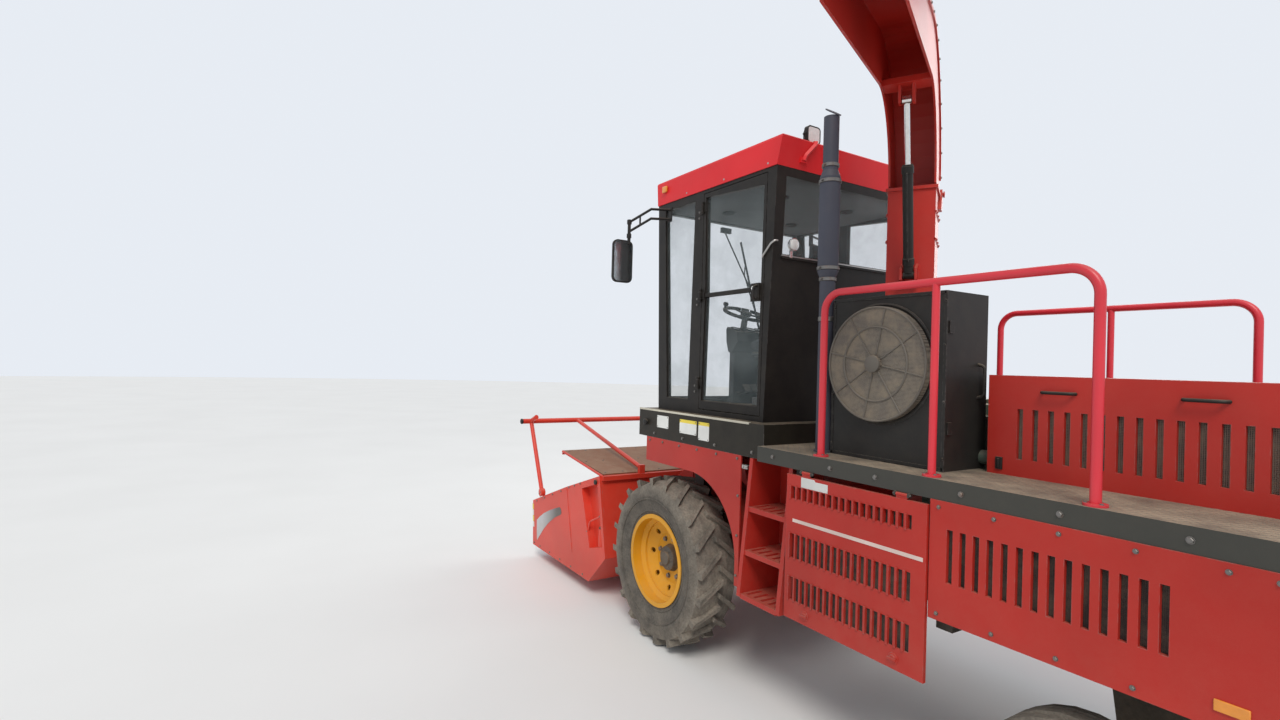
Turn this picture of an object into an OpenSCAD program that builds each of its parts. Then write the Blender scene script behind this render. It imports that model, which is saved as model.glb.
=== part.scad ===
// Self-propelled forage harvester with a rotary gathering header, a cab over the front axle,
// a slewing discharge spout behind the cab and the engine over the steered rear axle.
// X points forward, Y to the machine's left, Z up. Modules are drawn from the ground below the
// middle of the front axle, and place() moves them to the middle of the machine's box.

/* [Wheels] */
// Diameter of a front tyre over its lugs
front_tyre_d = 1260; // [1200:10:1300]
// Width of a front tyre
front_tyre_w = 360; // [320:10:370]
// Diameter of the front rims over their flanges
front_rim_d = 690; // [660:10:720]
// Mid plane of a front wheel from the machine's mid plane
front_wheel_y = 820; // [815:5:840]
// Lugs on each half of a front tyre
lug_count = 20; // [16:1:22]
// Height of a lug at the middle of the tread
lug_h = 38; // [25:1:45]
// Diameter of a rear tyre
rear_tyre_d = 780; // [740:10:800]
// Width of a rear tyre
rear_tyre_w = 260; // [220:10:270]
// Diameter of the rear rims over their flanges
rear_rim_d = 440; // [420:10:460]
// Mid plane of a rear wheel from the machine's mid plane
rear_wheel_y = 800; // [790:5:820]
// Front axle to rear axle
wheelbase = 2850; // [2800:10:2900]

/* [Chassis] */
// Height of the rails' lower face
rail_z = 880; // [870:5:890]
// Height of a rail
rail_h = 180; // [160:5:190]
// Width of a rail
rail_w = 100; // [80:5:100]
// Outer face of a rail from the mid plane
rail_y = 460; // [455:1:465]
// Front ends of the rails
rail_front_x = 330; // [300:5:335]
// Rear ends of the rails
rail_rear_x = -3700; // [-3750:10:-3650]
// Length of the counterweight behind the rails
bumper_l = 200; // [180:5:220]

/* [Platform and decks] */
// Outer face of the beams under the cab
beam_y = 900; // [890:1:905]
// Lower edge of the beams
beam_z = 1547; // [1545:1:1550]
// Top of the platform that carries the cab
platform_z = 1765; // [1760:1:1770]
// Front end of the platform
platform_front_x = 387; // [380:1:395]
// Rear end of the platform
platform_rear_x = -1085; // [-1090:1:-1080]
// Top of the chequered decks beside the engine
deck_z = 1636; // [1630:1:1640]
// Thickness of the decks
deck_t = 93; // [80:1:93]
// Outer edge of the decks
deck_y = 950; // [940:1:955]
// Rear ends of the decks
deck_rear_x = -3450; // [-3500:10:-3400]
// Top of the handrails
handrail_z = 2550; // [2500:10:2600]
// Outer face of the louvred side doors
panel_y = 965; // [960:1:970]

/* [Cab] */
// Outer face of the cab's sides from the mid plane
cab_y = 794; // [790:1:800]
// Foot of the cab's rear wall
cab_rear_foot_x = -957; // [-960:1:-955]
// Head of the cab's rear wall
cab_rear_head_x = -1031; // [-1035:1:-1028]
// Foot of the windscreen
cab_foot_x = 272; // [268:1:276]
// Head of the windscreen
cab_head_x = 350; // [345:1:352]
// Lower edge of the roof
roof_z = 3430; // [3425:1:3435]
// Thickness of the roof
roof_h = 190; // [170:5:200]
// Thickness of the cab's walls
wall_t = 45; // [40:1:50]
// Thickness of the glass
glass_t = 6; // [5:1:8]

/* [Header] */
// Outer face of the header's sides
header_y = 970; // [960:1:975]
// Thickness of the header's side sheets
side_t = 20; // [15:1:20]
// Front edge of the sides
header_front_x = 2430; // [2425:1:2435]
// Height of the header's lower edge
header_z = 135; // [130:1:150]
// Height of the header's rear wall
header_top_z = 1117; // [1110:1:1120]
// Middle of a gathering drum, forward of the front axle
drum_x = 1720; // [1715:1:1725]
// Middle of a gathering drum from the mid plane
drum_y = 470; // [468:1:472]
// Radius over the drums' tines
tine_r = 420; // [380:5:430]
// Radius over the cutting discs' blades
blade_r = 450; // [440:1:455]
// Height of the push bar
bar_z = 1460; // [1450:5:1470]
// Push bar, forward of the front axle
bar_x = 2500; // [2490:5:2510]

/* [Spout] */
// Slewing axis of the spout behind the front axle
spout_x = -1460; // [-1465:1:-1455]
// Slewing angle of the spout from straight ahead, counted to the left
spout_turn = 120; // [110:1:130]
// Height of the turntable
turntable_z = 2380; // [2370:5:2390]
// Height of the middle of the spout's bend
bend_z = 3300; // [3290:5:3310]
// Radius of the bend's back
bend_back_r = 750; // [740:5:755]
// Radius of the bend's belly
bend_belly_r = 450; // [440:5:455]
// Angle at which the bend ends, from the horizontal
bend_end = 76; // [74:1:80]
// Length of the straight back after the bend
spout_straight = 1450; // [1400:10:1460]
// Width of the spout
spout_w = 280; // [270:5:290]

/* [Hidden] */

// Middle of the machine's box, seen from the front axle
mid_x = -716;
mid_y = 508;

// Gap between a piece and its seat, and round a pin in its bore
seat_gap = 0.3;
pin_gap = 0.05;

// Paint and materials
red = "#c01a1c";
header_red = "#c8321e";
dark = "#26282a";
rubber_grey = "#4a4640";
rim_yellow = "#e09a10";
beam_grey = "#5c5a50";
deck_dust = "#8d8a6e";
glass_tint = [0.35, 0.45, 0.5, 0.4];

module place() translate([-mid_x, -mid_y, 0]) children();

module both() {
  children();
  mirror([0, 1, 0]) children();
}

// The children as they are on the left, and mirrored on the right
module on_side(side) mirror([0, side < 0 ? 1 : 0, 0]) children();

// Box between two opposite corners
module box(a, b) translate(a) cube(b - a);

// Outline in X and Z, made solid from y0 to y1
module slab(y0, y1) translate([0, y1, 0]) rotate([90, 0, 0]) linear_extrude(y1 - y0) children();

// Round bar along Y
module bar_y(x, z, y0, y1, r) translate([x, y0, z]) rotate([-90, 0, 0]) cylinder(h = y1 - y0, r = r);

// Round bar from p to q
module rod(p, q, r) {
  v = q - p;
  l = norm(v);
  translate(p) rotate([0, acos(v.z / l), atan2(v.y, v.x)]) cylinder(h = l, r = r);
}

// Bent tube through the points, with slightly swollen elbows
module tube(points, r) {
  for (i = [0:len(points) - 2]) rod(points[i], points[i + 1], r);
  for (i = [1:1:len(points) - 2]) translate(points[i]) sphere(r = r * 1.04);
}

// Quarter bend of a tube in the XZ plane about its centre, counted up from forward
module quarter_bend(centre, bend_r, r, from) translate(centre) rotate([90, 0, 0]) rotate(from)
  rotate_extrude(angle = 90) translate([bend_r, 0]) circle(r = r);

// Four-cornered outline moved inward: rear bottom, front bottom, front top, rear top
function inset(q, g) = [q[0] + [g, g], q[1] + [-g, g], q[2] + [-g, -g], q[3] + [g, -g]];

// Rectangle with rounded corners, from corner a to corner b
module round_rect(a, b, r) hull() for (x = [a.x + r, b.x - r],
  y = [a.y + r, b.y - r]) translate([x, y]) circle(r = r);

// Wheels

front_axle_z = front_tyre_d / 2;
rear_axle_z = rear_tyre_d / 2;

// Wheel about Z, set upright with its outer side at +Z away from the machine
module wheel_at(x, y, z, side) on_side(side) translate([x, y, z]) rotate([-90, 0, 0]) children();

// Flat-sided ring about Z: its section's [radius, height] points, taken n times round
module ring(section, n) {
  m = len(section);
  polyhedron(
    points = [for (s = [0:n - 1], p = section) [p[0] * cos(s * 360 / n), p[0] * sin(s * 360 / n), p[1]]],
    faces = [for (s = [0:n - 1], k = [0:m - 1])
      [s * m + k, s * m + (k + 1) % m, (s + 1) % n * m + (k + 1) % m, (s + 1) % n * m + k]]
  );
}

bead_in = 22;
lug_sweep = 13;
lug_overlap = 10;
front_facets = 2 * lug_count;
rear_facets = 28;
groove_d = 12;

// Bar lug: two ends, each [height along the axle, angle, half width, top radius, root radius]
function corner(e, s, r) = [r * cos(e[1] + s * asin(e[2] / e[3])),
  r * sin(e[1] + s * asin(e[2] / e[3])), e[0]];

module lug(ends) {
  polyhedron(
    points = [for (e = ends) each [corner(e, -1, e[4]), corner(e, 1, e[4]), corner(e, 1, e[3]),
      corner(e, -1, e[3])]],
    faces = [[3, 2, 1, 0], [4, 5, 6, 7], [0, 1, 5], [0, 5, 4], [1, 2, 6], [1, 6, 5],
      [2, 3, 7], [2, 7, 6], [3, 0, 4], [3, 4, 7]]
  );
}

// Drive tyre: a flat-sided carcass with two staggered rows of bar lugs
module drive_tyre() {
  r = front_tyre_d / 2;
  w = front_tyre_w;
  bead = (front_rim_d / 2 - bead_in) / cos(180 / front_facets);
  half = [[bead, 0.36], [bead + 30, 0.40], [r * 0.77, 0.5], [r - 1.7 * lug_h, 0.46], [r - lug_h, 0.2]];
  ends = [
    [-lug_overlap, 0, 19, r, r - 2 * lug_h],
    [w * 0.465, -lug_sweep, 23, r - 0.35 * lug_h, r - 2.7 * lug_h]
  ];
  color(rubber_grey) union() {
    ring([for (i = [0:4]) [half[i][0], -half[i][1] * w], for (i = [4:-1:0]) [half[i][0],
      half[i][1] * w]], front_facets);
    for (i = [0:lug_count - 1]) rotate(i * 360 / lug_count) {
      lug(ends);
      rotate(180 / lug_count) mirror([0, 0, 1]) lug(ends);
    }
  }
}

// Steered tyre: three ribs between two grooves, as on a plain implement tyre
module ribbed_tyre() {
  r = rear_tyre_d / 2;
  w = rear_tyre_w;
  bead = (rear_rim_d / 2 - bead_in) / cos(180 / rear_facets);
  half = [[bead, 0.36], [bead + 30, 0.40], [r * 0.78, 0.5], [r - 26, 0.46], [r - 6, 0.38], [r - 3, 0.22],
    [r - 3 - groove_d, 0.19], [r - groove_d, 0.13], [r, 0.1]];
  color(rubber_grey)
    ring([for (i = [0:8]) [half[i][0], -half[i][1] * w], for (i = [8:-1:0]) [half[i][0],
      half[i][1] * w]], rear_facets);
}

// Rim about Z: a rolled barrel with a drop centre, and a dished disc with hand holes
module rim(w, rim_d, disc_z, dish, hub_r, hub_out) {
  seat = rim_d / 2 - bead_in - seat_gap;
  flange = rim_d / 2;
  edge = w * 0.40;
  drop = w * 0.20;
  sheet = 10;
  disc_t = 14;
  dish_r = seat * 0.62;
  holes = 8;
  color(rim_yellow) difference() {
    union() {
      rotate_extrude() polygon([
        [seat - sheet, -edge - sheet], [flange, -edge - sheet], [flange, -edge - 2], [seat, -edge - 2],
        [seat, -drop], [seat - 30, -drop + 22], [seat - 30, drop - 22], [seat, drop], [seat, edge + 2],
        [flange, edge + 2], [flange, edge + sheet], [seat - sheet, edge + sheet],
          [seat - sheet, drop + 5],
        [seat - 30 - sheet, drop - 17], [seat - 30 - sheet, -drop + 17], [seat - sheet, -drop - 5]
      ]);
      rotate_extrude() polygon([
        [0, disc_z], [dish_r, disc_z], [seat - 34, disc_z + dish], [seat - 34, disc_z + dish + disc_t],
        [dish_r - 5, disc_z + disc_t], [0, disc_z + disc_t]
      ]);
      translate([0, 0, disc_z + disc_t]) cylinder(h = hub_out, r1 = hub_r, r2 = hub_r * 0.86);
    }
    for (i = [0:holes - 1]) rotate(i * 360 / holes) translate([seat * 0.72, 0,
      disc_z]) cylinder(h = 90, r = seat * 0.065);
  }
}

// Middle of a rim's disc from the wheel's mid plane, and its dish
front_disc_z = -20;
front_dish = 47;
rear_disc_z = -10;
rear_dish = 25;
hub_gap = 0.5;

module front_rim(side) place() wheel_at(0, front_wheel_y, front_axle_z, side)
  rim(front_tyre_w, front_rim_d, front_disc_z, front_dish, 100, 46);
module front_tyre(side) place() wheel_at(0, front_wheel_y, front_axle_z, side) drive_tyre();
module rear_rim(side) place() wheel_at(-wheelbase, rear_wheel_y, rear_axle_z, side)
  rim(rear_tyre_w, rear_rim_d, rear_disc_z, rear_dish, 60, 60);
module rear_tyre(side) place() wheel_at(-wheelbase, rear_wheel_y, rear_axle_z, side) ribbed_tyre();

module front_rim_left() front_rim(1);
module front_rim_right() front_rim(-1);
module front_tyre_left() front_tyre(1);
module front_tyre_right() front_tyre(-1);
module rear_rim_left() rear_rim(1);
module rear_rim_right() rear_rim(-1);
module rear_tyre_left() rear_tyre(1);
module rear_tyre_right() rear_tyre(-1);

// Chassis

rail_top = rail_z + rail_h;
rail_mid_y = rail_y - rail_w / 2;
pivot_x = 50;
pivot_z = 1150;
trunnion_r = 60;
lift_foot = [180, 520];
lift_y = 500;
pin_r = 20;
axle_pad_z = front_axle_z + 95;
rear_pad_z = rear_axle_z + 70;
tank_front_x = -3060;

module chassis_frame() place() color(dark) {
  // Cross members: front face, lower edge above the rails' lower face, height
  cross = [[-420, 0, 65], [-1250, 20, 140], [-2300, 20, 140], [rail_rear_x + 100, 20, 140]];
  both() difference() {
    box([rail_rear_x, rail_y - rail_w, rail_z], [rail_front_x, rail_y, rail_top]);
    // The rails are channels that open inward
    box([rail_rear_x - 1, rail_y - rail_w - 1, rail_z + 14], [-520, rail_y - 12, rail_top - 14]);
  }
  for (c = cross) box([c[0] - 100, -rail_y + 12, rail_z + c[1]], [c[0],
    rail_y - 12, rail_z + c[1] + c[2]]);
  both() {
    // Posts under the cab's platform
    for (x = [150, -900]) box([x - 60, rail_mid_y - 40, rail_top], [x + 60, rail_mid_y + 40, beam_z]);
    // Outriggers under the decks, with a gusset in each corner
    for (x = [-1400, -2300, -3350]) {
      box([x - 40, rail_y - 20, rail_z + 60], [x + 40, deck_y - 60, rail_top]);
      box([x - 40, deck_y - 120, rail_top], [x + 40, deck_y - 60, deck_z - deck_t]);
      translate([x - 5, deck_y - 120, rail_top]) rotate([90, 0, 90]) linear_extrude(10) polygon([[0,
        0], [-140, 0], [0, 140]]);
    }
    // Hanger of the front axle
    box([-90, rail_mid_y - 40, axle_pad_z], [90, rail_mid_y + 40, rail_z]);
    // Hanger of the lift cylinder with its pin
    slab(rail_y - 50, rail_y - 10) polygon([[lift_foot.x - 55, rail_z], [lift_foot.x + 110, rail_z],
      [lift_foot.x + 50, lift_foot.y - 30], [lift_foot.x + 20, lift_foot.y - 50],
      [lift_foot.x - 20, lift_foot.y - 50], [lift_foot.x - 50, lift_foot.y - 30]]);
    bar_y(lift_foot.x, lift_foot.y, rail_y - 20, lift_y + 55, pin_r);
    // Trestle of the rear axle
    slab(120, 220) polygon([[-wheelbase - 110, rear_pad_z], [-wheelbase + 110, rear_pad_z],
      [-wheelbase + 170, rail_z + 20], [-wheelbase - 170, rail_z + 20]]);
  }
  box([-wheelbase - 170, -rail_y + 12, rail_z + 20], [-wheelbase + 170, rail_y - 12, rail_top - 40]);
}

// Drive axle: differential, tubes, final drives and hubs
module front_axle() place() color(dark) {
  hub_y = front_wheel_y + front_disc_z - hub_gap;
  translate([0, 0, front_axle_z]) rotate([-90, 0, 0]) rotate_extrude() polygon([
    [0, -hub_y], [140, -hub_y], [140, -hub_y + 30], [120, -hub_y + 30], [120, -hub_y + 200],
      [75, -hub_y + 260],
    [75, -230], [150, -130], [150, 130], [75, 230], [75, hub_y - 260], [120, hub_y - 200],
      [120, hub_y - 30],
    [140, hub_y - 30], [140, hub_y], [0, hub_y]
  ]);
  box([-200, -110, front_axle_z - 110], [0, 110, front_axle_z + 110]);
  both() box([-100, rail_mid_y - 50, front_axle_z + 20], [100, rail_mid_y + 50, axle_pad_z]);
}

kingpin_y = 580;
kingpin_r = 22;
knuckle_gap = 3;
fork_z = 65;
fork_t = 30;

module rear_axle() place() color(dark) {
  both() {
    // The beam's belly rises toward its forks
    translate([-wheelbase - 60, 0, rear_axle_z]) rotate([90, 0, 90]) linear_extrude(120)
      polygon([[0, -75], [180, -75], [300, -60], [kingpin_y - 75, -60], [kingpin_y - 75, 60], [0, 60]]);
    for (z = [rear_axle_z - fork_z - fork_t, rear_axle_z + fork_z]) translate([-wheelbase, 0,
      z]) difference() {
      union() {
        box([-55, kingpin_y - 110, 0], [55, kingpin_y, fork_t]);
        translate([0, kingpin_y, 0]) cylinder(h = fork_t, r = 55);
      }
      translate([0, kingpin_y, -1]) cylinder(h = fork_t + 2, r = kingpin_r + pin_gap);
    }
    box([-wheelbase - 60, kingpin_y - 110, rear_axle_z - fork_z - fork_t],
      [-wheelbase + 60, kingpin_y - 75, rear_axle_z + fork_z + fork_t]);
  }
  box([-wheelbase - 100, -230, rear_axle_z + 60], [-wheelbase + 100, 230, rear_pad_z]);
}

arm_l = 150;
module steering_knuckle(side) place() on_side(side) translate([-wheelbase, kingpin_y,
  rear_axle_z]) color(dark) {
  hub_y = rear_wheel_y + rear_disc_z - hub_gap - kingpin_y;
  boss_h = 2 * (fork_z - knuckle_gap);
  translate([0, 0, -boss_h / 2]) cylinder(h = boss_h, r = 50);
  translate([0, 0, -fork_z - fork_t - 10]) cylinder(h = 2 * (fork_z + fork_t + 10), r = kingpin_r);
  translate([0, 30, 0]) rotate([-90, 0, 0]) cylinder(h = hub_y - 42, r1 = 46, r2 = 36);
  bar_y(0, 0, hub_y - 12, hub_y, 62);
  // Steering arm
  translate([0, 0, -60]) linear_extrude(25) hull() {
    translate([-arm_l, 0]) circle(r = 20);
    translate([-30, 0]) circle(r = 34);
  }
}

module steering_knuckle_left() steering_knuckle(1);
module steering_knuckle_right() steering_knuckle(-1);

module tie_rod() place() color("silver") {
  eye_z = rear_axle_z - 34.5;
  bar_y(-wheelbase - arm_l, eye_z + 12, -kingpin_y, kingpin_y, 12);
  both() translate([-wheelbase - arm_l, kingpin_y, eye_z]) cylinder(h = 24, r = 22);
}

// Platform, fenders, stairs, decks

plate_t = 20;
beam_w = 80;

module cab_platform() place() color(beam_grey) {
  // Side beams: channels that open inward
  both() difference() {
    box([platform_rear_x, beam_y - beam_w, beam_z], [platform_front_x, beam_y, platform_z]);
    box([platform_rear_x + 90, beam_y - beam_w - 1, beam_z + 12],
      [platform_front_x - 90, beam_y - 12, platform_z - plate_t]);
  }
  for (x = [platform_rear_x, -940, 110, platform_front_x - beam_w])
    box([x, -beam_y + 12, beam_z], [x + beam_w, beam_y - 12, platform_z - plate_t]);
  box([platform_rear_x, -beam_y + 12, platform_z - plate_t], [platform_front_x, beam_y - 12, platform_z]);
}

fender_rear_x = -876;
fender_front_x = 270;
fender_in_y = 620;
fender_foot_z = 690;
fender_skin = 12;
arch_x = -319;
arch_z = 837;
arch_r = 520;

// Opening under a fender: a quarter arch behind, open ahead
module arch(r) {
  translate([arch_x, fender_foot_z - 10]) square([900, arch_z + r - fender_foot_z + 10]);
  translate([arch_x - r, fender_foot_z - 10]) square([r + 1, arch_z - fender_foot_z + 10]);
  translate([arch_x, arch_z]) circle(r = r, $fn = 96);
}

module fender_side() translate([fender_rear_x, fender_foot_z])
  square([fender_front_x - fender_rear_x, beam_z - fender_foot_z]);

module wheel_fenders() place() color(red) both() {
  slab(beam_y - fender_skin, beam_y - 0.5) difference() {
    fender_side();
    arch(arch_r);
  }
  // Inner skin that follows the arch
  slab(fender_in_y, beam_y - fender_skin) difference() {
    intersection() {
      fender_side();
      arch(arch_r + 14);
    }
    arch(arch_r);
  }
}

stair_front_x = -964;
stair_rear_x = -1340;
stair_foot_y = 985;
stair_head_y = 900;
stair_foot_z = 680;
stringer_t = 30;
tread_t = 30;
// Treads: height of the top
treads = [700, 970, 1240];
tread_slots = 5;

module stairs() place() color(red) both() {
  lean = (stair_foot_y - stair_head_y) / (deck_z - deck_t - stair_foot_z);
  slot_w = 26;
  pitch = (stair_front_x - stair_rear_x - 2 * stringer_t) / tread_slots;
  // Each stringer leans out toward its foot
  for (x = [stair_front_x - stringer_t, stair_rear_x]) translate([x, 0, 0]) rotate([90, 0,
    90]) linear_extrude(stringer_t)
    polygon([[640, deck_z - deck_t], [640, stair_foot_z], [stair_foot_y, stair_foot_z],
      [stair_head_y, deck_z - deck_t]]);
  box([stair_rear_x + stringer_t, 640, stair_foot_z], [stair_front_x - stringer_t, 655, deck_z - deck_t]);
  for (z = treads) difference() {
    edge = stair_foot_y - (z - stair_foot_z) * lean - 4;
    box([stair_rear_x + stringer_t, 655, z - tread_t], [stair_front_x - stringer_t, edge, z]);
    // Grip slots
    for (i = [0:tread_slots - 1]) translate([stair_rear_x + stringer_t + (i + 0.5) * pitch, edge - 150,
      z - tread_t - 1])
      translate([-slot_w / 2, 0, 0]) cube([slot_w, 120, tread_t + 2]);
  }
}

side_hinge_y = 955;
side_hinge_z = deck_z - deck_t - 10;
side_hinges = [-1500, -2110];
side_pin_r = 5;
side_knuckle_r = 9;
knuckle_half = 31;

module decks() place() color(deck_dust) {
  // The decks' outer edge is folded down over a thinner plate
  both() difference() {
    box([deck_rear_x, rail_y - 30, deck_z - deck_t], [platform_rear_x - seat_gap, deck_y, deck_z]);
    box([deck_rear_x + 60, rail_y + 30, deck_z - deck_t - 1],
      [platform_rear_x - 60, rail_y + 60, deck_z - 8]);
  }
  // Hinges of the side doors
  both() for (x = side_hinges) {
    for (e = [x - knuckle_half - 11, x + knuckle_half + 2])
      box([e, side_hinge_y - 9, side_hinge_z - 9], [e + 9, side_hinge_y + 9, deck_z - deck_t]);
    translate([x - knuckle_half - 7, side_hinge_y, side_hinge_z]) rotate([0, 90, 0])
      cylinder(h = 2 * knuckle_half + 14, r = side_pin_r);
  }
  box([deck_rear_x, -rail_y + 30, deck_z - deck_t], [deck_rear_x + 60, rail_y - 30, deck_z]);
}

handrail_x = [-1550, -2900];
handrail_y = 900;
handrail_r = 20;
handrail_bend = 110;

module handrails() place() color(red) both() {
  corner_z = handrail_z - handrail_bend;
  for (x = handrail_x) translate([x, handrail_y, deck_z]) cylinder(h = corner_z - deck_z, r = handrail_r);
  quarter_bend([handrail_x[0] - handrail_bend, handrail_y, corner_z], handrail_bend, handrail_r, 0);
  quarter_bend([handrail_x[1] + handrail_bend, handrail_y, corner_z], handrail_bend, handrail_r, 90);
  rod([handrail_x[0] - handrail_bend, handrail_y, handrail_z],
    [handrail_x[1] + handrail_bend, handrail_y, handrail_z], handrail_r);
  translate([(handrail_x[0] + handrail_x[1]) / 2, handrail_y,
    deck_z]) cylinder(h = handrail_z - deck_z - 5, r = 0.9 * handrail_r);
  // Foot plates
  for (x = [handrail_x[0], handrail_x[1], (handrail_x[0] + handrail_x[1]) / 2])
    translate([x, handrail_y, deck_z + seat_gap]) cylinder(h = 10, r = 42);
}

panel_z = 690;
panel_t = 20;
door_front_x = -1360;
door_rear_x = -2250;
door_drop = 19;
// Louvre rows: lower edge, upper edge, first slot, number of slots
louvres = [[1378, 1447, -1400, 18], [1040, 1177, -1400, 18], [800, 930, -1400, 18]];
slot_pitch = 44;
slot_w = 24;

module side_door(side) place() on_side(side) color(red) {
  difference() {
    box([door_rear_x, panel_y - panel_t, panel_z], [door_front_x, panel_y, side_hinge_z - door_drop]);
    for (row = louvres, i = [0:row[3] - 1]) translate([row[2] - i * slot_pitch - slot_w,
      panel_y - panel_t - 5, row[0]])
      cube([slot_w, panel_t + 10, row[1] - row[0]]);
    // Shallow field round the louvres on the inner face
    box([door_rear_x + 60, panel_y - panel_t - 1, panel_z + 60],
      [door_front_x - 60, panel_y - 8, louvres[0][0] - 30]);
  }
  for (x = side_hinges) difference() {
    union() {
      translate([x - knuckle_half, side_hinge_y, side_hinge_z]) rotate([0, 90, 0])
        cylinder(h = 2 * knuckle_half, r = side_knuckle_r);
      box([x - knuckle_half, side_hinge_y - 4, side_hinge_z - door_drop - 7],
        [x + knuckle_half, side_hinge_y + 4, side_hinge_z - 5]);
    }
    translate([x - 40, side_hinge_y, side_hinge_z]) rotate([0, 90, 0]) cylinder(h = 80,
      r = side_pin_r + pin_gap);
  }
}
module side_door_left() side_door(1);
module side_door_right() side_door(-1);

module rear_side_panels() place() color(red) both() difference() {
  box([deck_rear_x, panel_y - 30, 1000], [door_rear_x - 8, panel_y - 10, deck_z - deck_t]);
  for (i = [0:13]) translate([door_rear_x - 120 - i * 60, panel_y - 35, 1180]) cube([28, 30, 240]);
}

bumper_x = rail_rear_x - bumper_l;
bumper_half = 700;
bumper_z = [760, 1180];
hitch_z = [600, 680];
hitch_t = 25;
drawbar_r = 15.5;

module rear_bumper() place() color(dark) difference() {
  union() {
    // Cast weight with sloped edges
    slab(-bumper_half, bumper_half) polygon([
      [bumper_x, bumper_z[0] + 60], [bumper_x + 60, bumper_z[0]], [rail_rear_x - seat_gap, bumper_z[0]],
      [rail_rear_x - seat_gap, bumper_z[1]], [bumper_x + 50, bumper_z[1]], [bumper_x, bumper_z[1] - 50]
    ]);
    for (z = hitch_z) translate([0, 0, z]) linear_extrude(hitch_t) union() {
      translate([bumper_x - 30, -70]) square([190, 140]);
      translate([bumper_x - 30, 0]) intersection() {
        circle(r = 70);
        translate([-30, -70]) square([60, 140]);
      }
    }
    box([bumper_x + 40, -100, 560], [bumper_x + 160, 100, bumper_z[0] + 1]);
  }
  translate([bumper_x - 30, 0, hitch_z[0] - 10]) cylinder(h = 130, r = drawbar_r);
}

tank_x = [-3640, -3060];
tank_y = 420;
tank_top = 1500;

module fuel_tank() place() color(dark) {
  translate([tank_x[0], 0, 0]) rotate([90, 0, 90]) linear_extrude(tank_x[1] - tank_x[0]) polygon([
    [-tank_y, rail_top + 40], [-tank_y + 40, rail_top + seat_gap], [tank_y - 40, rail_top + seat_gap],
    [tank_y, rail_top + 40], [tank_y, tank_top - 50], [tank_y - 50, tank_top],
      [-tank_y + 50, tank_top], [-tank_y, tank_top - 50]
  ]);
  translate([tank_x[0] + 120, -tank_y + 130, tank_top - 1]) cylinder(h = 40, r = 55);
}

module engine_block() place() color("#4d5a4a") box([-2950, -340, rail_top - 20 + seat_gap],
  [-1800, 340, 1900]);

hood_x = [-3440, -2260];
hood_y = 500;
hood_top = 2120;
hood_t = 20;

module engine_hood() place() color(red) difference() {
  slab(-hood_y, hood_y) polygon([[hood_x[0], deck_z], [hood_x[0], hood_top - 110],
    [hood_x[0] + 80, hood_top],
    [hood_x[1], hood_top], [hood_x[1], deck_z]]);
  slab(-hood_y + hood_t, hood_y - hood_t) polygon([[hood_x[0] + hood_t, deck_z - 1],
    [hood_x[0] + hood_t, hood_top - 120],
    [hood_x[0] + 90, hood_top - hood_t], [hood_x[1] + 20, hood_top - hood_t],
      [hood_x[1] + 20, deck_z - 1]]);
  // Vents in both sides
  for (i = [0:13]) translate([hood_x[0] + 130 + i * 68, -hood_y - 5, 1720]) cube([26,
    2 * hood_y + 10, 240]);
}

screen_x = -1800;
screen_z = 2160;
screen_r = 310;
screen_y = 740;
screen_shaft_r = 20;

module radiator_box() place() color(dark) {
  difference() {
    box([-2180, 380, deck_z], [-1480, screen_y, 2530]);
    bar_y(screen_x, screen_z, 500, screen_y + 1, screen_r - 40);
    // Core behind the fan, seen from the machine's middle
    for (i = [0:8]) translate([-2130 + i * 70, 379, 1760]) cube([44, 40, 680]);
  }
  bar_y(screen_x, screen_z, 499, screen_y + 48, screen_shaft_r);
}

module rotary_screen() place() color("#8a7f70") {
  difference() {
    bar_y(screen_x, screen_z, screen_y + 6, screen_y + 45, screen_r);
    bar_y(screen_x, screen_z, screen_y + 5, screen_y + 37, screen_r - 8);
    bar_y(screen_x, screen_z, screen_y, screen_y + 80, 44);
  }
  difference() {
    bar_y(screen_x, screen_z, screen_y + 6, screen_y + 60, 45);
    bar_y(screen_x, screen_z, screen_y, screen_y + 50, screen_shaft_r + pin_gap);
  }
}

stack_x = -1420;
stack_y = 740;
stack_top = 3680;

// Exhaust: a pipe with a silencer, open at the top under a tilted rain cap
module exhaust_stack() place() translate([stack_x, stack_y, 0]) color("#22304a") {
  difference() {
    rotate_extrude() polygon([[0, deck_z], [55, deck_z], [55, deck_z + 12], [45, deck_z + 12],
      [45, 2660], [60, 2700],
      [60, 3260], [45, 3300], [45, stack_top - 60], [0, stack_top - 60]]);
    translate([0, 0, 3320]) cylinder(h = 400, r = 39);
  }
  translate([-46, 0, stack_top - 62]) rotate([0, -35, 0]) translate([46, 0, 0]) cylinder(h = 6, r = 50);
}

// Crop path

housing_y = 300;
throat_y = 150;

module cutter_housing() place() color(red) {
  slab(-throat_y, throat_y) polygon([
    [-150, 1440], [-1150, 1535], [spout_x + 150, 1660], [spout_x + 150, turntable_z],
    [spout_x - 150, turntable_z], [spout_x - 150, 1370], [spout_x - 40, 1230], [-150, 900]
  ]);
  bar_y(pivot_x, pivot_z, -housing_y, housing_y, 330);
  bar_y(pivot_x, pivot_z, -housing_y - 40, housing_y + 40, trunnion_r);
  translate([spout_x, 0, turntable_z - 60]) cylinder(h = 60, r = 210);
  both() box([-80, housing_y - 20, rail_z + 40], [60, rail_y - rail_w, rail_z + 120]);
}

// Rear face of the header at height z, down to the fold where the pan starts
function back_x(z) = 926 - (1117 - z) * 0.21;
pan_z = 420;
pan_x = 1080;
function pan_at(z) = back_x(pan_z) + (pan_z - z) / (pan_z - header_z) * (pan_x - back_x(pan_z));

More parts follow.
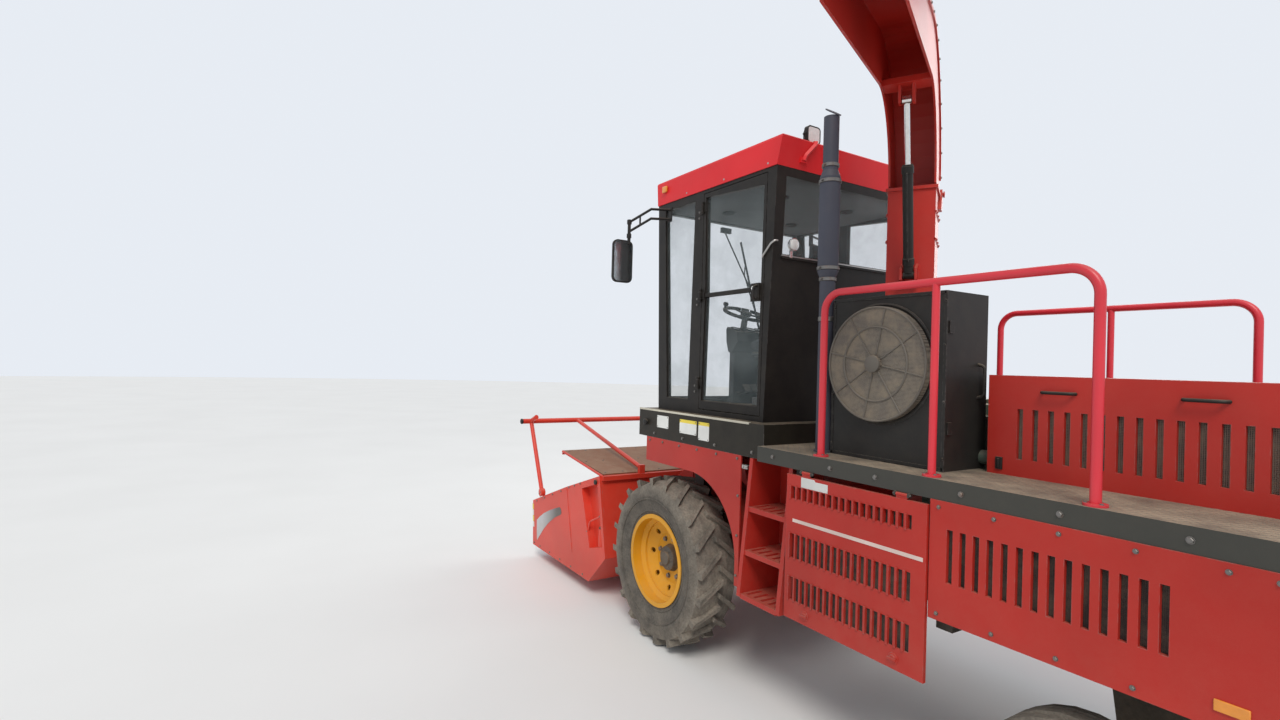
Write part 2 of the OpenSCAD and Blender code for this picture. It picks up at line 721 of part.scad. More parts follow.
// Feed rolls: x, z, radius over the flutes
rolls = [[715, 740, 120], [700, 500, 80]];
roll_shaft_r = 25;
house_y = 340;
house_t = 15;
mouth_y = 325;
mouth_z = [395, 915];

module feed_house() place() color(red) {
  difference() {
    slab(-house_y, house_y) polygon([[400, 1290], [back_x(930), 930], [back_x(pan_z), pan_z],
      [pan_at(380), 380],
      [640, 380], [350, 890]]);
    slab(-house_y + house_t, house_y - house_t) polygon([[376, 1288], [back_x(915) + 40, 915],
      [900, mouth_z[0]],
      [650, mouth_z[0]], [331, 956]]);
    for (r = rolls) bar_y(r[0], r[1], -house_y - 10, house_y + 10, roll_shaft_r + pin_gap);
  }
  both() {
    difference() {
      slab(310, 330) polygon([[405, 1285], [pivot_x, 1240], [pivot_x - 90, 1150], [pivot_x, 1060],
        [375, 935]]);
      bar_y(pivot_x, pivot_z, 300, 350, trunnion_r + pin_gap);
    }
    // Stiffening ribs on the sides
    for (p = [[560, 1060, 815, 700], [500, 880, 768, 480]])
      slab(house_y - 1, house_y + 10) polygon([[p[0], p[1]], [p[0] + 24, p[1] + 16],
        [p[2] + 10, p[3] + 12], [p[2] - 14, p[3] - 6]]);
  }
}

lift_eye = [690, 415];
lift_pin_r = 16;
wall_x = 30;
floor_t = 25;
drum_shaft_r = 30;
beam_top = [40, 30, 40];

module header_box() place() color(header_red) {
  floor_z = header_z + floor_t;
  difference() {
    // Rear wall, sloped pan and floor folded from one sheet
    slab(-header_y + side_t, header_y - side_t) polygon([
      [back_x(1100), 1100], [back_x(pan_z), pan_z], [pan_x, header_z], [2380, header_z], [2380, floor_z],
      [pan_x + 12, floor_z], [back_x(pan_z) + wall_x, pan_z + 8], [back_x(1100) + wall_x, 1100]
    ]);
    slab(-mouth_y, mouth_y) polygon([[700, mouth_z[1]], [1200, mouth_z[1]], [1300, mouth_z[0]],
      [700, mouth_z[0]]]);
  }
  both() {
    for (y = [lift_y - 60, lift_y + 35])
      slab(y, y + 25) polygon([lift_eye + [-40, -40], lift_eye + [-40, 40], [back_x(560) + 8, 560],
        [back_x(425) + 14, 425], [842, 372]]);
    bar_y(lift_eye.x, lift_eye.y, lift_y - 60, lift_y + 60, lift_pin_r);
    // Drum gearboxes and their shafts
    translate([drum_x, drum_y, floor_z]) cylinder(h = 14, r = 120);
    translate([drum_x, drum_y, floor_z]) cylinder(h = 80, r = drum_shaft_r);
    // Tube along the deck's edge
    rod([920, 937.5, 1110], [1772, 937.5, 1222], 11.5);
  }
  // Beam behind the deck and the bar under its front edge
  box([back_x(1117) - beam_top[0], -header_y + side_t, 1117 - beam_top[2]],
    [back_x(1117) + beam_top[1], header_y - side_t, 1117]);
  bar_y(1764, 1202, -945, 945, 11);
}

// Recess in the sides: rear bottom, front bottom, front top, rear top
recess = [[838, 505], [1078, 437], [1267, 947], [960, 1040]];
recess_d = 75;
tray_t = 8;

module header_sides() place() color(header_red) both() {
  difference() {
    union() {
      slab(header_y - side_t, header_y) polygon([
        [back_x(header_top_z), header_top_z], [1610, 896], [header_front_x, 605],
          [header_front_x - 30, header_z],
        [pan_x, header_z], [back_x(pan_z), pan_z]
      ]);
      slab(header_y - recess_d - tray_t, header_y - 1) polygon(inset(recess, -tray_t));
      // Fold across the sheet
      slab(header_y - 1, header_y + 4) polygon([[1584, 887], [1612, 880], [1458, 304], [1430, 304]]);
      // Rolled upper edge
      slab(header_y - side_t - 12, header_y - side_t + 1) polygon([[1300, 987], [1610, 894],
        [2425, 605], [2423, 575], [1606, 864], [1300, 957]]);
    }
    slab(header_y - recess_d, header_y + 5) polygon(recess);
  }
  // Round cover in the recess
  translate([935, header_y - recess_d + 8, 482]) cylinder(h = 158, r = 48);
}

deck_y_in = 925;
module header_deck() place() color("#8a6a4a") slab(-deck_y_in, deck_y_in)
  polygon([[936, 1117.3], [936, 1129], [1790, 1229], [1790, 1217]]);

strut_y = header_y + 20;
module push_bar() place() color(header_red) {
  bar_y(bar_x, bar_z, -1090, 1090, 27);
  both() {
    rod([2140, strut_y, 730], [bar_x, strut_y, bar_z], 22);
    bar_y(2140, 747, header_y, header_y + 45, 40);
    // Stub at the bar's end
    rod([2354, strut_y, 1518], [2514, strut_y, 1457], 24);
    // Brace and its post
    rod([913, 540, 1165], [bar_x, 430, bar_z], 21);
    box([895, 512, 1117 + seat_gap], [931, 568, 1195]);
  }
}

module crop_dividers() place() color(header_red) intersection() {
  translate([0, 0, header_z + floor_t]) linear_extrude(240) polygon([[2080, -60], [2380, -60],
    [2450, 0], [2380, 60], [2080, 60]]);
  slab(-70, 70) polygon([[2070, 150], [2460, 150], [2460, 190], [2300, 320], [2180, 400], [2070, 400]]);
}

// Tiers of tines on a drum: height, radius of the tips, number of tines
tiers = [[230, 1.0, 14], [360, 0.96, 14], [500, 0.92, 14], [640, 0.88, 14], [780, 0.84, 14]];
drum_r = 190;
drum_z = 201;
tine_t = 12;
tine_hook = 46;

// A tine: a tapered finger that hooks back against the drum's turn
module tine(tip, side) polygon([
  [drum_r, -26], [drum_r + (tip - drum_r) * 0.55, -15 + 6 * side], [tip, -5 + tine_hook * side],
  [tip - 3, 5 + tine_hook * side], [drum_r + (tip - drum_r) * 0.55, 15 + 10 * side], [drum_r, 26]
]);

module gathering_drum(side) place() translate([drum_x, drum_y * side, 0]) color(header_red) difference() {
  union() {
    rotate_extrude() polygon([[0, drum_z], [drum_r, drum_z], [drum_r, 830], [drum_r - 15, 845],
      [80, 845], [72, 885], [0, 885]]);
    for (t = tiers) translate([0, 0, t[0]]) linear_extrude(tine_t) union() {
      circle(r = drum_r + 25);
      for (i = [0:t[2] - 1]) rotate(i * 360 / t[2] * side) tine(tine_r * t[1] - 3, side);
    }
  }
  translate([0, 0, drum_z - 1]) cylinder(h = 41, r = drum_shaft_r + pin_gap);
}
module gathering_drum_left() gathering_drum(1);
module gathering_drum_right() gathering_drum(-1);

blade_count = 12;
disc_gap = 0.5;
module cutting_disc(side) place() translate([drum_x, drum_y * side,
  header_z + floor_t + 14 + disc_gap]) color("silver")
  difference() {
    union() {
      linear_extrude(8) union() {
        circle(r = blade_r - 50);
        for (i = [0:blade_count - 1]) rotate(i * 360 / blade_count)
          polygon([[blade_r - 80, -40], [blade_r - 8, -25], [blade_r - 2, 25], [blade_r - 80, 40]]);
      }
      translate([0, 0, 8]) cylinder(h = 18, r = 130);
    }
    translate([0, 0, -1]) cylinder(h = 30, r = drum_shaft_r + pin_gap);
  }
module cutting_disc_left() cutting_disc(1);
module cutting_disc_right() cutting_disc(-1);

flutes = 8;
module feed_roll(roll) place() color("#777777") {
  translate([roll[0], -315, roll[1]]) rotate([-90, 0, 0]) linear_extrude(630) union() {
    circle(r = roll[2] - 18);
    for (i = [0:flutes - 1]) rotate(i * 360 / flutes) translate([roll[2] - 25, -6]) square([25, 12]);
  }
  bar_y(roll[0], roll[1], -house_y - 5, house_y + 5, roll_shaft_r);
}
module feed_roll_upper() feed_roll(rolls[0]);
module feed_roll_lower() feed_roll(rolls[1]);

// Lift cylinders of the header

lift_angle = atan2(lift_eye.y - lift_foot.y, lift_eye.x - lift_foot.x);
lift_length = norm(lift_eye - lift_foot);
barrel_l = 400;
barrel_r = 38;
piston_r = 20;
rod_start = 200;

module at_lift() translate([lift_foot.x, 0, lift_foot.y]) rotate([0, -lift_angle, 0]) children();

module lift_barrels() place() color(dark) both() at_lift() difference() {
  union() {
    bar_y(0, 0, lift_y - 38, lift_y + 38, 36);
    translate([30, lift_y, 0]) rotate([0, 90, 0]) cylinder(h = barrel_l - 30, r = barrel_r);
    // Gland at the rod's end
    translate([barrel_l - 45, lift_y, 0]) rotate([0, 90, 0]) cylinder(h = 45, r = barrel_r + 5);
  }
  bar_y(0, 0, lift_y - 60, lift_y + 60, pin_r + pin_gap);
  translate([60, lift_y, 0]) rotate([0, 90, 0]) cylinder(h = barrel_l, r = piston_r + pin_gap);
}

module lift_rods() place() color("silver") both() at_lift() difference() {
  union() {
    translate([rod_start, lift_y, 0]) rotate([0, 90, 0]) cylinder(h = lift_length - rod_start - 27,
      r = piston_r);
    bar_y(lift_length, 0, lift_y - 28, lift_y + 28, 38);
  }
  bar_y(lift_length, 0, lift_y - 60, lift_y + 60, 26);
}

// Cab

sill = 65;
pane_z = [1866, 3370];
door_z = [1800, 3405];
door_edge = [-926, -946];
door_gap = 6;

// Front and rear faces of the cab at height z
cab_h = roof_z - platform_z;
function cab_front(z) = cab_foot_x + (z - platform_z) / cab_h * (cab_head_x - cab_foot_x);
function cab_rear(z) = cab_rear_foot_x + (z - platform_z) / cab_h * (cab_rear_head_x - cab_rear_foot_x);

// Panes in the sides: rear bottom, front bottom, front top, rear top
quarter_pane = [[-126, pane_z[0]], [cab_front(pane_z[0]) - 118, pane_z[0]],
  [cab_front(pane_z[1]) - 98, pane_z[1]], [-158, pane_z[1]]];
lower_pane = [[-896, pane_z[0]], [-290, pane_z[0]], [-306, 2632], [-905, 2632]];
upper_pane = [[-905, 2657], [-306, 2657], [-288, 3372], [-915, 3325]];
right_pane = [[-896, pane_z[0]], [-290, pane_z[0]], [-288, 3372], [-915, 3325]];
rear_pane_z = [2867, 3370];
rear_pane_y = cab_y - 85;

door_pin = [-262, cab_y + 12];
door_hinges = [1950, 2600, 3250];
door_pin_r = 6;
door_knuckle_r = 12;

module cab_outline(t) polygon([
  [cab_rear(platform_z + t) + t, platform_z + t], [cab_front(platform_z + t) - t, platform_z + t],
  [cab_front(roof_z - t) - t, roof_z - t], [cab_rear(roof_z - t) + t, roof_z - t]
]);

// Door's outline with its edges drawn in by g
module door_outline(g) polygon([
  [door_edge[0] + g, door_z[0] + g], [door_pin.x - g, door_z[0] + g], [door_pin.x - g, door_z[1] - g],
    [door_edge[1] + g, door_z[1] - g]
]);

module door_knuckle(z, h) translate([door_pin.x, door_pin.y, z]) cylinder(h = h, r = door_knuckle_r);

module cab_frame() place() color(dark) {
  cab_shell();
  for (z = door_hinges) {
    translate([door_pin.x, door_pin.y, z]) cylinder(h = 90, r = door_pin_r);
    for (k = [z, z + 70]) {
      door_knuckle(k, 20);
      box([door_pin.x, cab_y - 1, k], [door_pin.x + 40, cab_y + 6, k + 20]);
    }
  }
  // Ledge under the rear window
  slab(-rear_pane_y - 10, rear_pane_y + 10) polygon([[cab_rear(2855) + 2, 2855],
    [cab_rear(2855) - 14, 2852],
    [cab_rear(2855) - 14, 2838], [cab_rear(2838) + 2, 2838]]);
}

module cab_shell() difference() {
  slab(-cab_y, cab_y) cab_outline(0);
  slab(-cab_y + wall_t, cab_y - wall_t) cab_outline(wall_t);
  // Windscreen
  box([0, -cab_y + sill, pane_z[0]], [400, cab_y - sill, pane_z[1]]);
  // Rear window
  box([-1100, -rear_pane_y, rear_pane_z[0]], [-860, rear_pane_y, rear_pane_z[1]]);
  // Front side windows
  slab(-cab_y - 5, cab_y + 5) polygon(quarter_pane);
  // Door opening
  slab(cab_y - wall_t - 5, cab_y + 5) door_outline(0);
  // Right rear side window
  slab(-cab_y - 5, -cab_y + wall_t + 5) polygon(right_pane);
}

module cab_door() place() color(dark) {
  difference() {
    slab(cab_y - wall_t, cab_y) door_outline(door_gap);
    for (q = [lower_pane, upper_pane]) slab(cab_y - wall_t - 5, cab_y + 5) polygon(q);
  }
  // Lock on the rear stile
  box([-905, cab_y - 1, 2560], [-826, cab_y + 18, 2680]);
  for (z = door_hinges) difference() {
    union() {
      door_knuckle(z + 21, 48);
      box([door_pin.x - 40, cab_y - 1, z + 21], [door_pin.x - 6, cab_y + 6, z + 69]);
    }
    translate([door_pin.x, door_pin.y, z]) cylinder(h = 90, r = door_pin_r + pin_gap);
  }
}

glass_y = cab_y - 22;
module side_glass(q) slab(glass_y - glass_t, glass_y) polygon(inset(q, seat_gap));

module door_glass() place() color(glass_tint) for (q = [lower_pane, upper_pane]) side_glass(q);

screen_in = 20;
module windscreen() place() color(glass_tint) slab(-cab_y + sill + seat_gap,
  cab_y - sill - seat_gap) polygon([
  for (z = [pane_z[0] + seat_gap, pane_z[1] - seat_gap]) [cab_front(z) - screen_in - glass_t, z],
  for (z = [pane_z[1] - seat_gap, pane_z[0] + seat_gap]) [cab_front(z) - screen_in, z]
]);

module cab_glass() place() color(glass_tint) {
  slab(-rear_pane_y + seat_gap, rear_pane_y - seat_gap) polygon([
    for (z = [rear_pane_z[0] + seat_gap, rear_pane_z[1] - seat_gap]) [cab_rear(z) + 18, z],
    for (z = [rear_pane_z[1] - seat_gap, rear_pane_z[0] + seat_gap]) [cab_rear(z) + 18 + glass_t, z]
  ]);
  both() side_glass(quarter_pane);
  mirror([0, 1, 0]) side_glass(right_pane);
}

roof_y = 802;
module cab_roof() place() color(red) translate([0, 0, roof_z]) intersection() {
  slab(-roof_y, roof_y) polygon([[cab_rear_head_x - 2, 0], [-1078, roof_h - 10], [-1066, roof_h],
    [355, roof_h],
    [368, roof_h - 12], [cab_head_x + 2, 0]]);
  // The sides' upper edges are rounded off
  translate([-1100, 0, 0]) rotate([90, 0, 90]) linear_extrude(1500) polygon([[-roof_y, -1],
    [roof_y, -1], [roof_y, roof_h - 18],
    [roof_y - 5, roof_h - 5], [roof_y - 18, roof_h], [-roof_y + 18, roof_h], [-roof_y + 5, roof_h - 5],
      [-roof_y, roof_h - 18]]);
}

roof_top_z = roof_z + roof_h;
module cab_lamps() place() color(dark) both() {
  // Rear work lamp on its foot
  translate([-1015, 0, roof_top_z + 15]) rotate([90, 0, 90]) linear_extrude(70) polygon([[362, 0],
    [528, 0], [540, 12], [540, 73],
    [528, 85], [362, 85], [350, 73], [350, 12]]);
  box([-958, 420, roof_top_z], [-930, 470, roof_top_z + 40]);
  // Front work lamp on the roof's front face
  slab(480, 660) polygon([[cab_head_x + 6.3, roof_z + 44], [412, roof_z + 48], [412, roof_z + 124],
    [cab_head_x + 13.8, roof_z + 128]]);
  // Marker lamp on the roof's side
  box([215, roof_y, roof_z + 92], [265, roof_y + 16, roof_z + 134]);
}

mirror_x = [340, 375];
module mirrors() place() color(dark) both() {
  // Housing with rounded corners, deeper in its middle
  translate([mirror_x[0], 0, 0]) rotate([90, 0, 90]) {
    linear_extrude(20) round_rect([1040, 2770], [1220, 3110], 45);
    linear_extrude(mirror_x[1] - mirror_x[0]) round_rect([1060, 2790], [1200, 3090], 35);
  }
  box([150, cab_y, 3270], [195, cab_y + 8, 3385]);
  for (z = [3290, 3365]) tube([[172, cab_y + 10, z], [205, 960, z - 10], [330, 1085, z - 110]], 10);
  rod([330, 1085, 3080], [330, 1085, 3275], 13);
  rod([268, 1023, 3228], [268, 1023, 3305], 7);
}

seat_y = 240;
module seat() place() color("#2b2b2d") {
  // Cushion, backrest and headrest from one side outline each
  slab(-seat_y, seat_y) polygon([[-660, 2250], [-640, 2225], [-150, 2240], [-125, 2275], [-130, 2335],
    [-160, 2355],
    [-560, 2340], [-640, 2330]]);
  slab(-seat_y, seat_y) polygon([[-660, 2250], [-560, 2335], [-590, 2420], [-640, 2900],
    [-700, 2930], [-740, 2900],
    [-710, 2400]]);
  slab(-130, 130) polygon([[-640, 2890], [-650, 3060], [-700, 3070], [-730, 3050], [-720, 2890]]);
  for (y = [-seat_y - 55, seat_y - 5]) slab(y, y + 60) polygon([[-690, 2480], [-300, 2490], [-285, 2515],
    [-300, 2540], [-690, 2530]]);
  slab(-180, 180) polygon([[-560, platform_z + wall_t + seat_gap], [-560, 2060], [-600, 2230],
    [-180, 2240], [-200, 2060],
    [-200, platform_z + wall_t + seat_gap]]);
}

wheel_at_z = 2572;
module console() place() color("#3a3a3c") {
  floor_z = platform_z + wall_t + seat_gap;
  // Dashboard pod below the windscreen
  slab(-230, 230) polygon([[110, floor_z], [110, 2250], [40, 2340], [60, 2420], [200, 2470],
    [225, 2440], [225, floor_z]]);
  // Steering column and wheel
  rod([130, 50, 2380], [92, 50, 2560], 28);
  translate([88, 50, wheel_at_z]) rotate([0, -20, 0]) {
    rotate_extrude() translate([185, 0]) circle(r = 14, $fn = 8);
    for (i = [0:2]) rotate(i * 120) rotate([0, 90, 0]) cylinder(h = 180, r = 8);
    translate([0, 0, -12]) cylinder(h = 26, r = 45);
  }
  // Armrest console with the levers' base
  slab(-560, -320) polygon([[-640, floor_z], [-640, 2380], [-600, 2420], [-200, 2440], [-140, 2400],
    [-140, 2330], [-220, 2300], [-220, floor_z]]);
}

// Spout, drawn along +X from its slewing axis

module at_spout() translate([spout_x, 0, 0]) rotate(spout_turn) children();

spout_hinge = [-175, bend_z];
spout_foot = [215, 2720];
spout_eye = [550, 3680];
spout_half = spout_w / 2;
hinge_pin_r = 14;
foot_pin_r = 12;

module spout_neck() place() at_spout() color(red) {
  translate([0, 0, turntable_z + 0.5]) cylinder(h = 50.5, r = 210);
  box([-150, -spout_half, turntable_z + 51], [150, spout_half, bend_z - 10]);
  // Collars at the foot and the head
  box([-165, -spout_half - 15, turntable_z + 50], [165, spout_half + 15, turntable_z + 70]);
  box([-100, -spout_half - 12, bend_z - 34], [162, spout_half + 12, bend_z - 14]);
  // Hinge ears at the back
  for (y = [-spout_half - 20, spout_half])
    slab(y, y + 20) polygon([[-150, bend_z - 120], [-60, bend_z - 120], [-150, bend_z + 30],
      [-200, bend_z + 30], [-200, bend_z - 20]]);
  bar_y(spout_hinge.x, spout_hinge.y, -spout_half - 25, spout_half + 25, hinge_pin_r);
  // Foot of the cylinder
  for (y = [-50, 36]) slab(y, y + 14) polygon([[149, 2660], spout_foot + [25, -30],
    spout_foot + [25, 40], [149, 2800]]);
  bar_y(spout_foot.x, spout_foot.y, -50, 50, foot_pin_r);
}

// Points on an arc of the bend, from its foot to its end
function bend_arc(r,
  steps) = [for (i = [0:steps]) let (a = 180 - i * (180 - bend_end) / steps) [600 + r * cos(a),
  bend_z + r * sin(a)]];
back_end = [600 + bend_back_r * cos(bend_end), bend_z + bend_back_r * sin(bend_end)]
  + spout_straight * [sin(bend_end), -cos(bend_end)];
belly_end = back_end + [-50, -225];
boom_t = 12;
flange_h = 22;
eye_pin_r = 10;
flap_pin_r = 7;

// Side outline of the boom with its back and belly drawn in
module boom_outline(back_in, belly_in, ahead) polygon(concat(bend_arc(bend_back_r - back_in, 16),
  [back_end + [ahead, -back_in], belly_end + [ahead, -belly_in * 4]],
  [for (i = [16:-1:0]) bend_arc(bend_belly_r - belly_in, 16)[i]]));

module spout_boom() place() at_spout() color(red) {
  difference() {
    slab(-spout_half, spout_half) boom_outline(0, 0, 0);
    slab(-spout_half + boom_t, spout_half - boom_t) boom_outline(boom_t, 5, 20);
  }
  // Flanges along the back, clear of the hinge ears
  for (y = [-spout_half - 10, spout_half - 1]) slab(y, y + 11) polygon(concat(
    [for (i = [1:16]) bend_arc(bend_back_r, 16)[i]],
      [back_end, back_end - flange_h * [cos(bend_end), sin(bend_end)]],
    [for (i = [16:-1:1]) bend_arc(bend_back_r - flange_h, 16)[i]]));
  difference() {
    slab(-spout_half + 3, spout_half - 3) polygon([[-200, bend_z - 15], [-149, bend_z + 2],
      [-145, bend_z + 80], [-200, bend_z + 20]]);
    bar_y(spout_hinge.x, spout_hinge.y, -200, 200, hinge_pin_r + pin_gap);
  }
  for (y = [-45, 30]) slab(y, y + 15) polygon([[500, 3790], [600, 3790], spout_eye + [22, -20],
    spout_eye + [-22, -20]]);
  slab(-spout_half + 2, spout_half - 2) polygon([[500, 3755], [500, 3790], [620, 3790], [620, 3755]]);
  bar_y(spout_eye.x, spout_eye.y, -45, 45, eye_pin_r);
  // Ears and pin of the end flap
  for (y = [-spout_half, spout_half - 12]) slab(y, y + 12) polygon([
    back_end + [-60, -12], back_end + [-60, 15], flap_pin + [0, 14], flap_pin + [12, 8],
      flap_pin + [12, -10], back_end + [0, -18]]);
  bar_y(flap_pin.x, flap_pin.y, -spout_half, spout_half, flap_pin_r);
}

flap_pin = back_end + [22, 14];
module spout_flap() place() at_spout() color(red) {
  knuckle_y = spout_half - 14;
  slab(-spout_half - 10, spout_half + 10) polygon([flap_pin + [26, -14], flap_pin + [180, -150],
    flap_pin + [300, -400],
    flap_pin + [288, -404], flap_pin + [170, -156], flap_pin + [20, -24]]);
  difference() {
    union() {
      bar_y(flap_pin.x, flap_pin.y, -knuckle_y, knuckle_y, 14);
      slab(-knuckle_y, knuckle_y) polygon([flap_pin + [4, 8], flap_pin + [40, -24],
        flap_pin + [32, -34], flap_pin + [-2, -8]]);
    }
    bar_y(flap_pin.x, flap_pin.y, -spout_w, spout_w, flap_pin_r + pin_gap);
  }
}

spout_cyl_angle = atan2(spout_eye.y - spout_foot.y, spout_eye.x - spout_foot.x);
spout_cyl_l = norm(spout_eye - spout_foot);
module at_spout_cyl() translate([spout_foot.x, 0, spout_foot.y]) rotate([0, -spout_cyl_angle,
  0]) children();
spout_piston_r = 16;

module spout_barrel() place() at_spout() at_spout_cyl() color(dark) difference() {
  union() {
    bar_y(0, 0, -30, 30, 24);
    translate([20, 0, 0]) rotate([0, 90, 0]) cylinder(h = 640, r = 30);
  }
  bar_y(0, 0, -50, 50, foot_pin_r + pin_gap);
  translate([60, 0, 0]) rotate([0, 90, 0]) cylinder(h = 640, r = spout_piston_r + pin_gap);
}

module spout_rod() place() at_spout() at_spout_cyl() color("silver") difference() {
  union() {
    translate([350, 0, 0]) rotate([0, 90, 0]) cylinder(h = spout_cyl_l - 350 - 16, r = spout_piston_r);
    bar_y(spout_cyl_l, 0, -24, 24, 24);
  }
  bar_y(spout_cyl_l, 0, -50, 50, spout_piston_r);
}

chassis_frame();
front_axle();
rear_axle();
steering_knuckle_left();
steering_knuckle_right();
tie_rod();
front_rim_left();
front_rim_right();
front_tyre_left();
front_tyre_right();
rear_rim_left();
rear_rim_right();
rear_tyre_left();
rear_tyre_right();
cab_platform();
wheel_fenders();
stairs();
decks();
handrails();
side_door_left();
side_door_right();
rear_side_panels();
rear_bumper();
fuel_tank();
engine_block();
engine_hood();
radiator_box();
rotary_screen();
exhaust_stack();
cutter_housing();
cab_frame();
cab_door();
door_glass();
windscreen();
cab_glass();
cab_roof();
cab_lamps();
mirrors();
seat();
console();
feed_house();
header_box();
header_sides();
header_deck();
push_bar();
crop_dividers();
gathering_drum_left();
gathering_drum_right();
cutting_disc_left();
cutting_disc_right();
feed_roll_upper();
feed_roll_lower();
lift_barrels();
lift_rods();
spout_neck();
spout_boom();
spout_flap();
spout_barrel();
spout_rod();
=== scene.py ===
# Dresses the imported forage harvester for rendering: materials, small fittings, cloth, light and camera.
from math import atan2, cos, exp, pi, radians, sin, sqrt

import bmesh
import bpy
from mathutils import Matrix, Vector


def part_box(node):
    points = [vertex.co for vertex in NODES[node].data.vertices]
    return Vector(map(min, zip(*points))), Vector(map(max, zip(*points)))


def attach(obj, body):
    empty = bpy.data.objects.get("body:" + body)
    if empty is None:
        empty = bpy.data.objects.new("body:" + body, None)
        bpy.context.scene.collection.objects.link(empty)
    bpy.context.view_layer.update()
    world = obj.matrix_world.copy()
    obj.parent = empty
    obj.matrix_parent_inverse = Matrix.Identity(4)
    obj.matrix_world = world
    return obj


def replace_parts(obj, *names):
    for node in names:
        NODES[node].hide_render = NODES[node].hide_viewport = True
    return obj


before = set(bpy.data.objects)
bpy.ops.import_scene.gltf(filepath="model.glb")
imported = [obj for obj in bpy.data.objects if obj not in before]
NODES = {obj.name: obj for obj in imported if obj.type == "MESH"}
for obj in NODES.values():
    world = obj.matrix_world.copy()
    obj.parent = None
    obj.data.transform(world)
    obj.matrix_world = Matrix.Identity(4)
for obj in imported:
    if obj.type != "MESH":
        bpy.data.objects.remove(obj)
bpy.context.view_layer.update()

# Places are given in metres from the ground under the middle of the front axle, as part.scad does
# in millimetres, and at() moves them to the row frame.
ORIGIN = Vector((0.716, -0.508, 0.0))
LEFT, UP, BACK = (0, 1, 0), (0, 0, 1), (-1, 0, 0)
# Edges sharper than this stay hard. The panes' seals and the side doors' skins lie in these planes
SHARP_FROM = radians(34)
SEAL_Y, DOOR_FACE = 0.7745, 0.9645
CAB_FLOOR, CAB_HEIGHT = 1.765, 1.665


def at(x, y, z):
    return Vector((x, y, z)) + ORIGIN


# Wheels: the left one's place, its disc face from there, the nuts' circle, number and width, the hub cap's
# radius and length, the valve's radius, and the sidewall's rings as radius, distance out and half width
WHEELS = {
    "front": dict(x=0.0, y=0.82, z=0.63, face=-0.006, nuts=0.15, count=8, across=0.03, hub=0.104, out=0.046,
                  valve=0.275, rings=((0.338, 0.1405, 0.007), (0.372, 0.15, 0.006), (0.462, 0.1745, 0.006))),
    "rear": dict(x=-2.85, y=0.8, z=0.39, face=0.004, nuts=0.088, count=6, across=0.022, hub=0.063, out=0.06,
                 valve=0.165, rings=((0.216, 0.1, 0.005), (0.24, 0.108, 0.005), (0.29, 0.127, 0.004))),
}


# Materials

RED = (0.5, 0.019, 0.011)
HEADER_RED = (0.68, 0.036, 0.016)
RAIL_RED = (0.78, 0.024, 0.046)
ROOF_RED = (0.8, 0.012, 0.02)
YELLOW = (0.8, 0.36, 0.003)
DUST = (0.42, 0.33, 0.23)


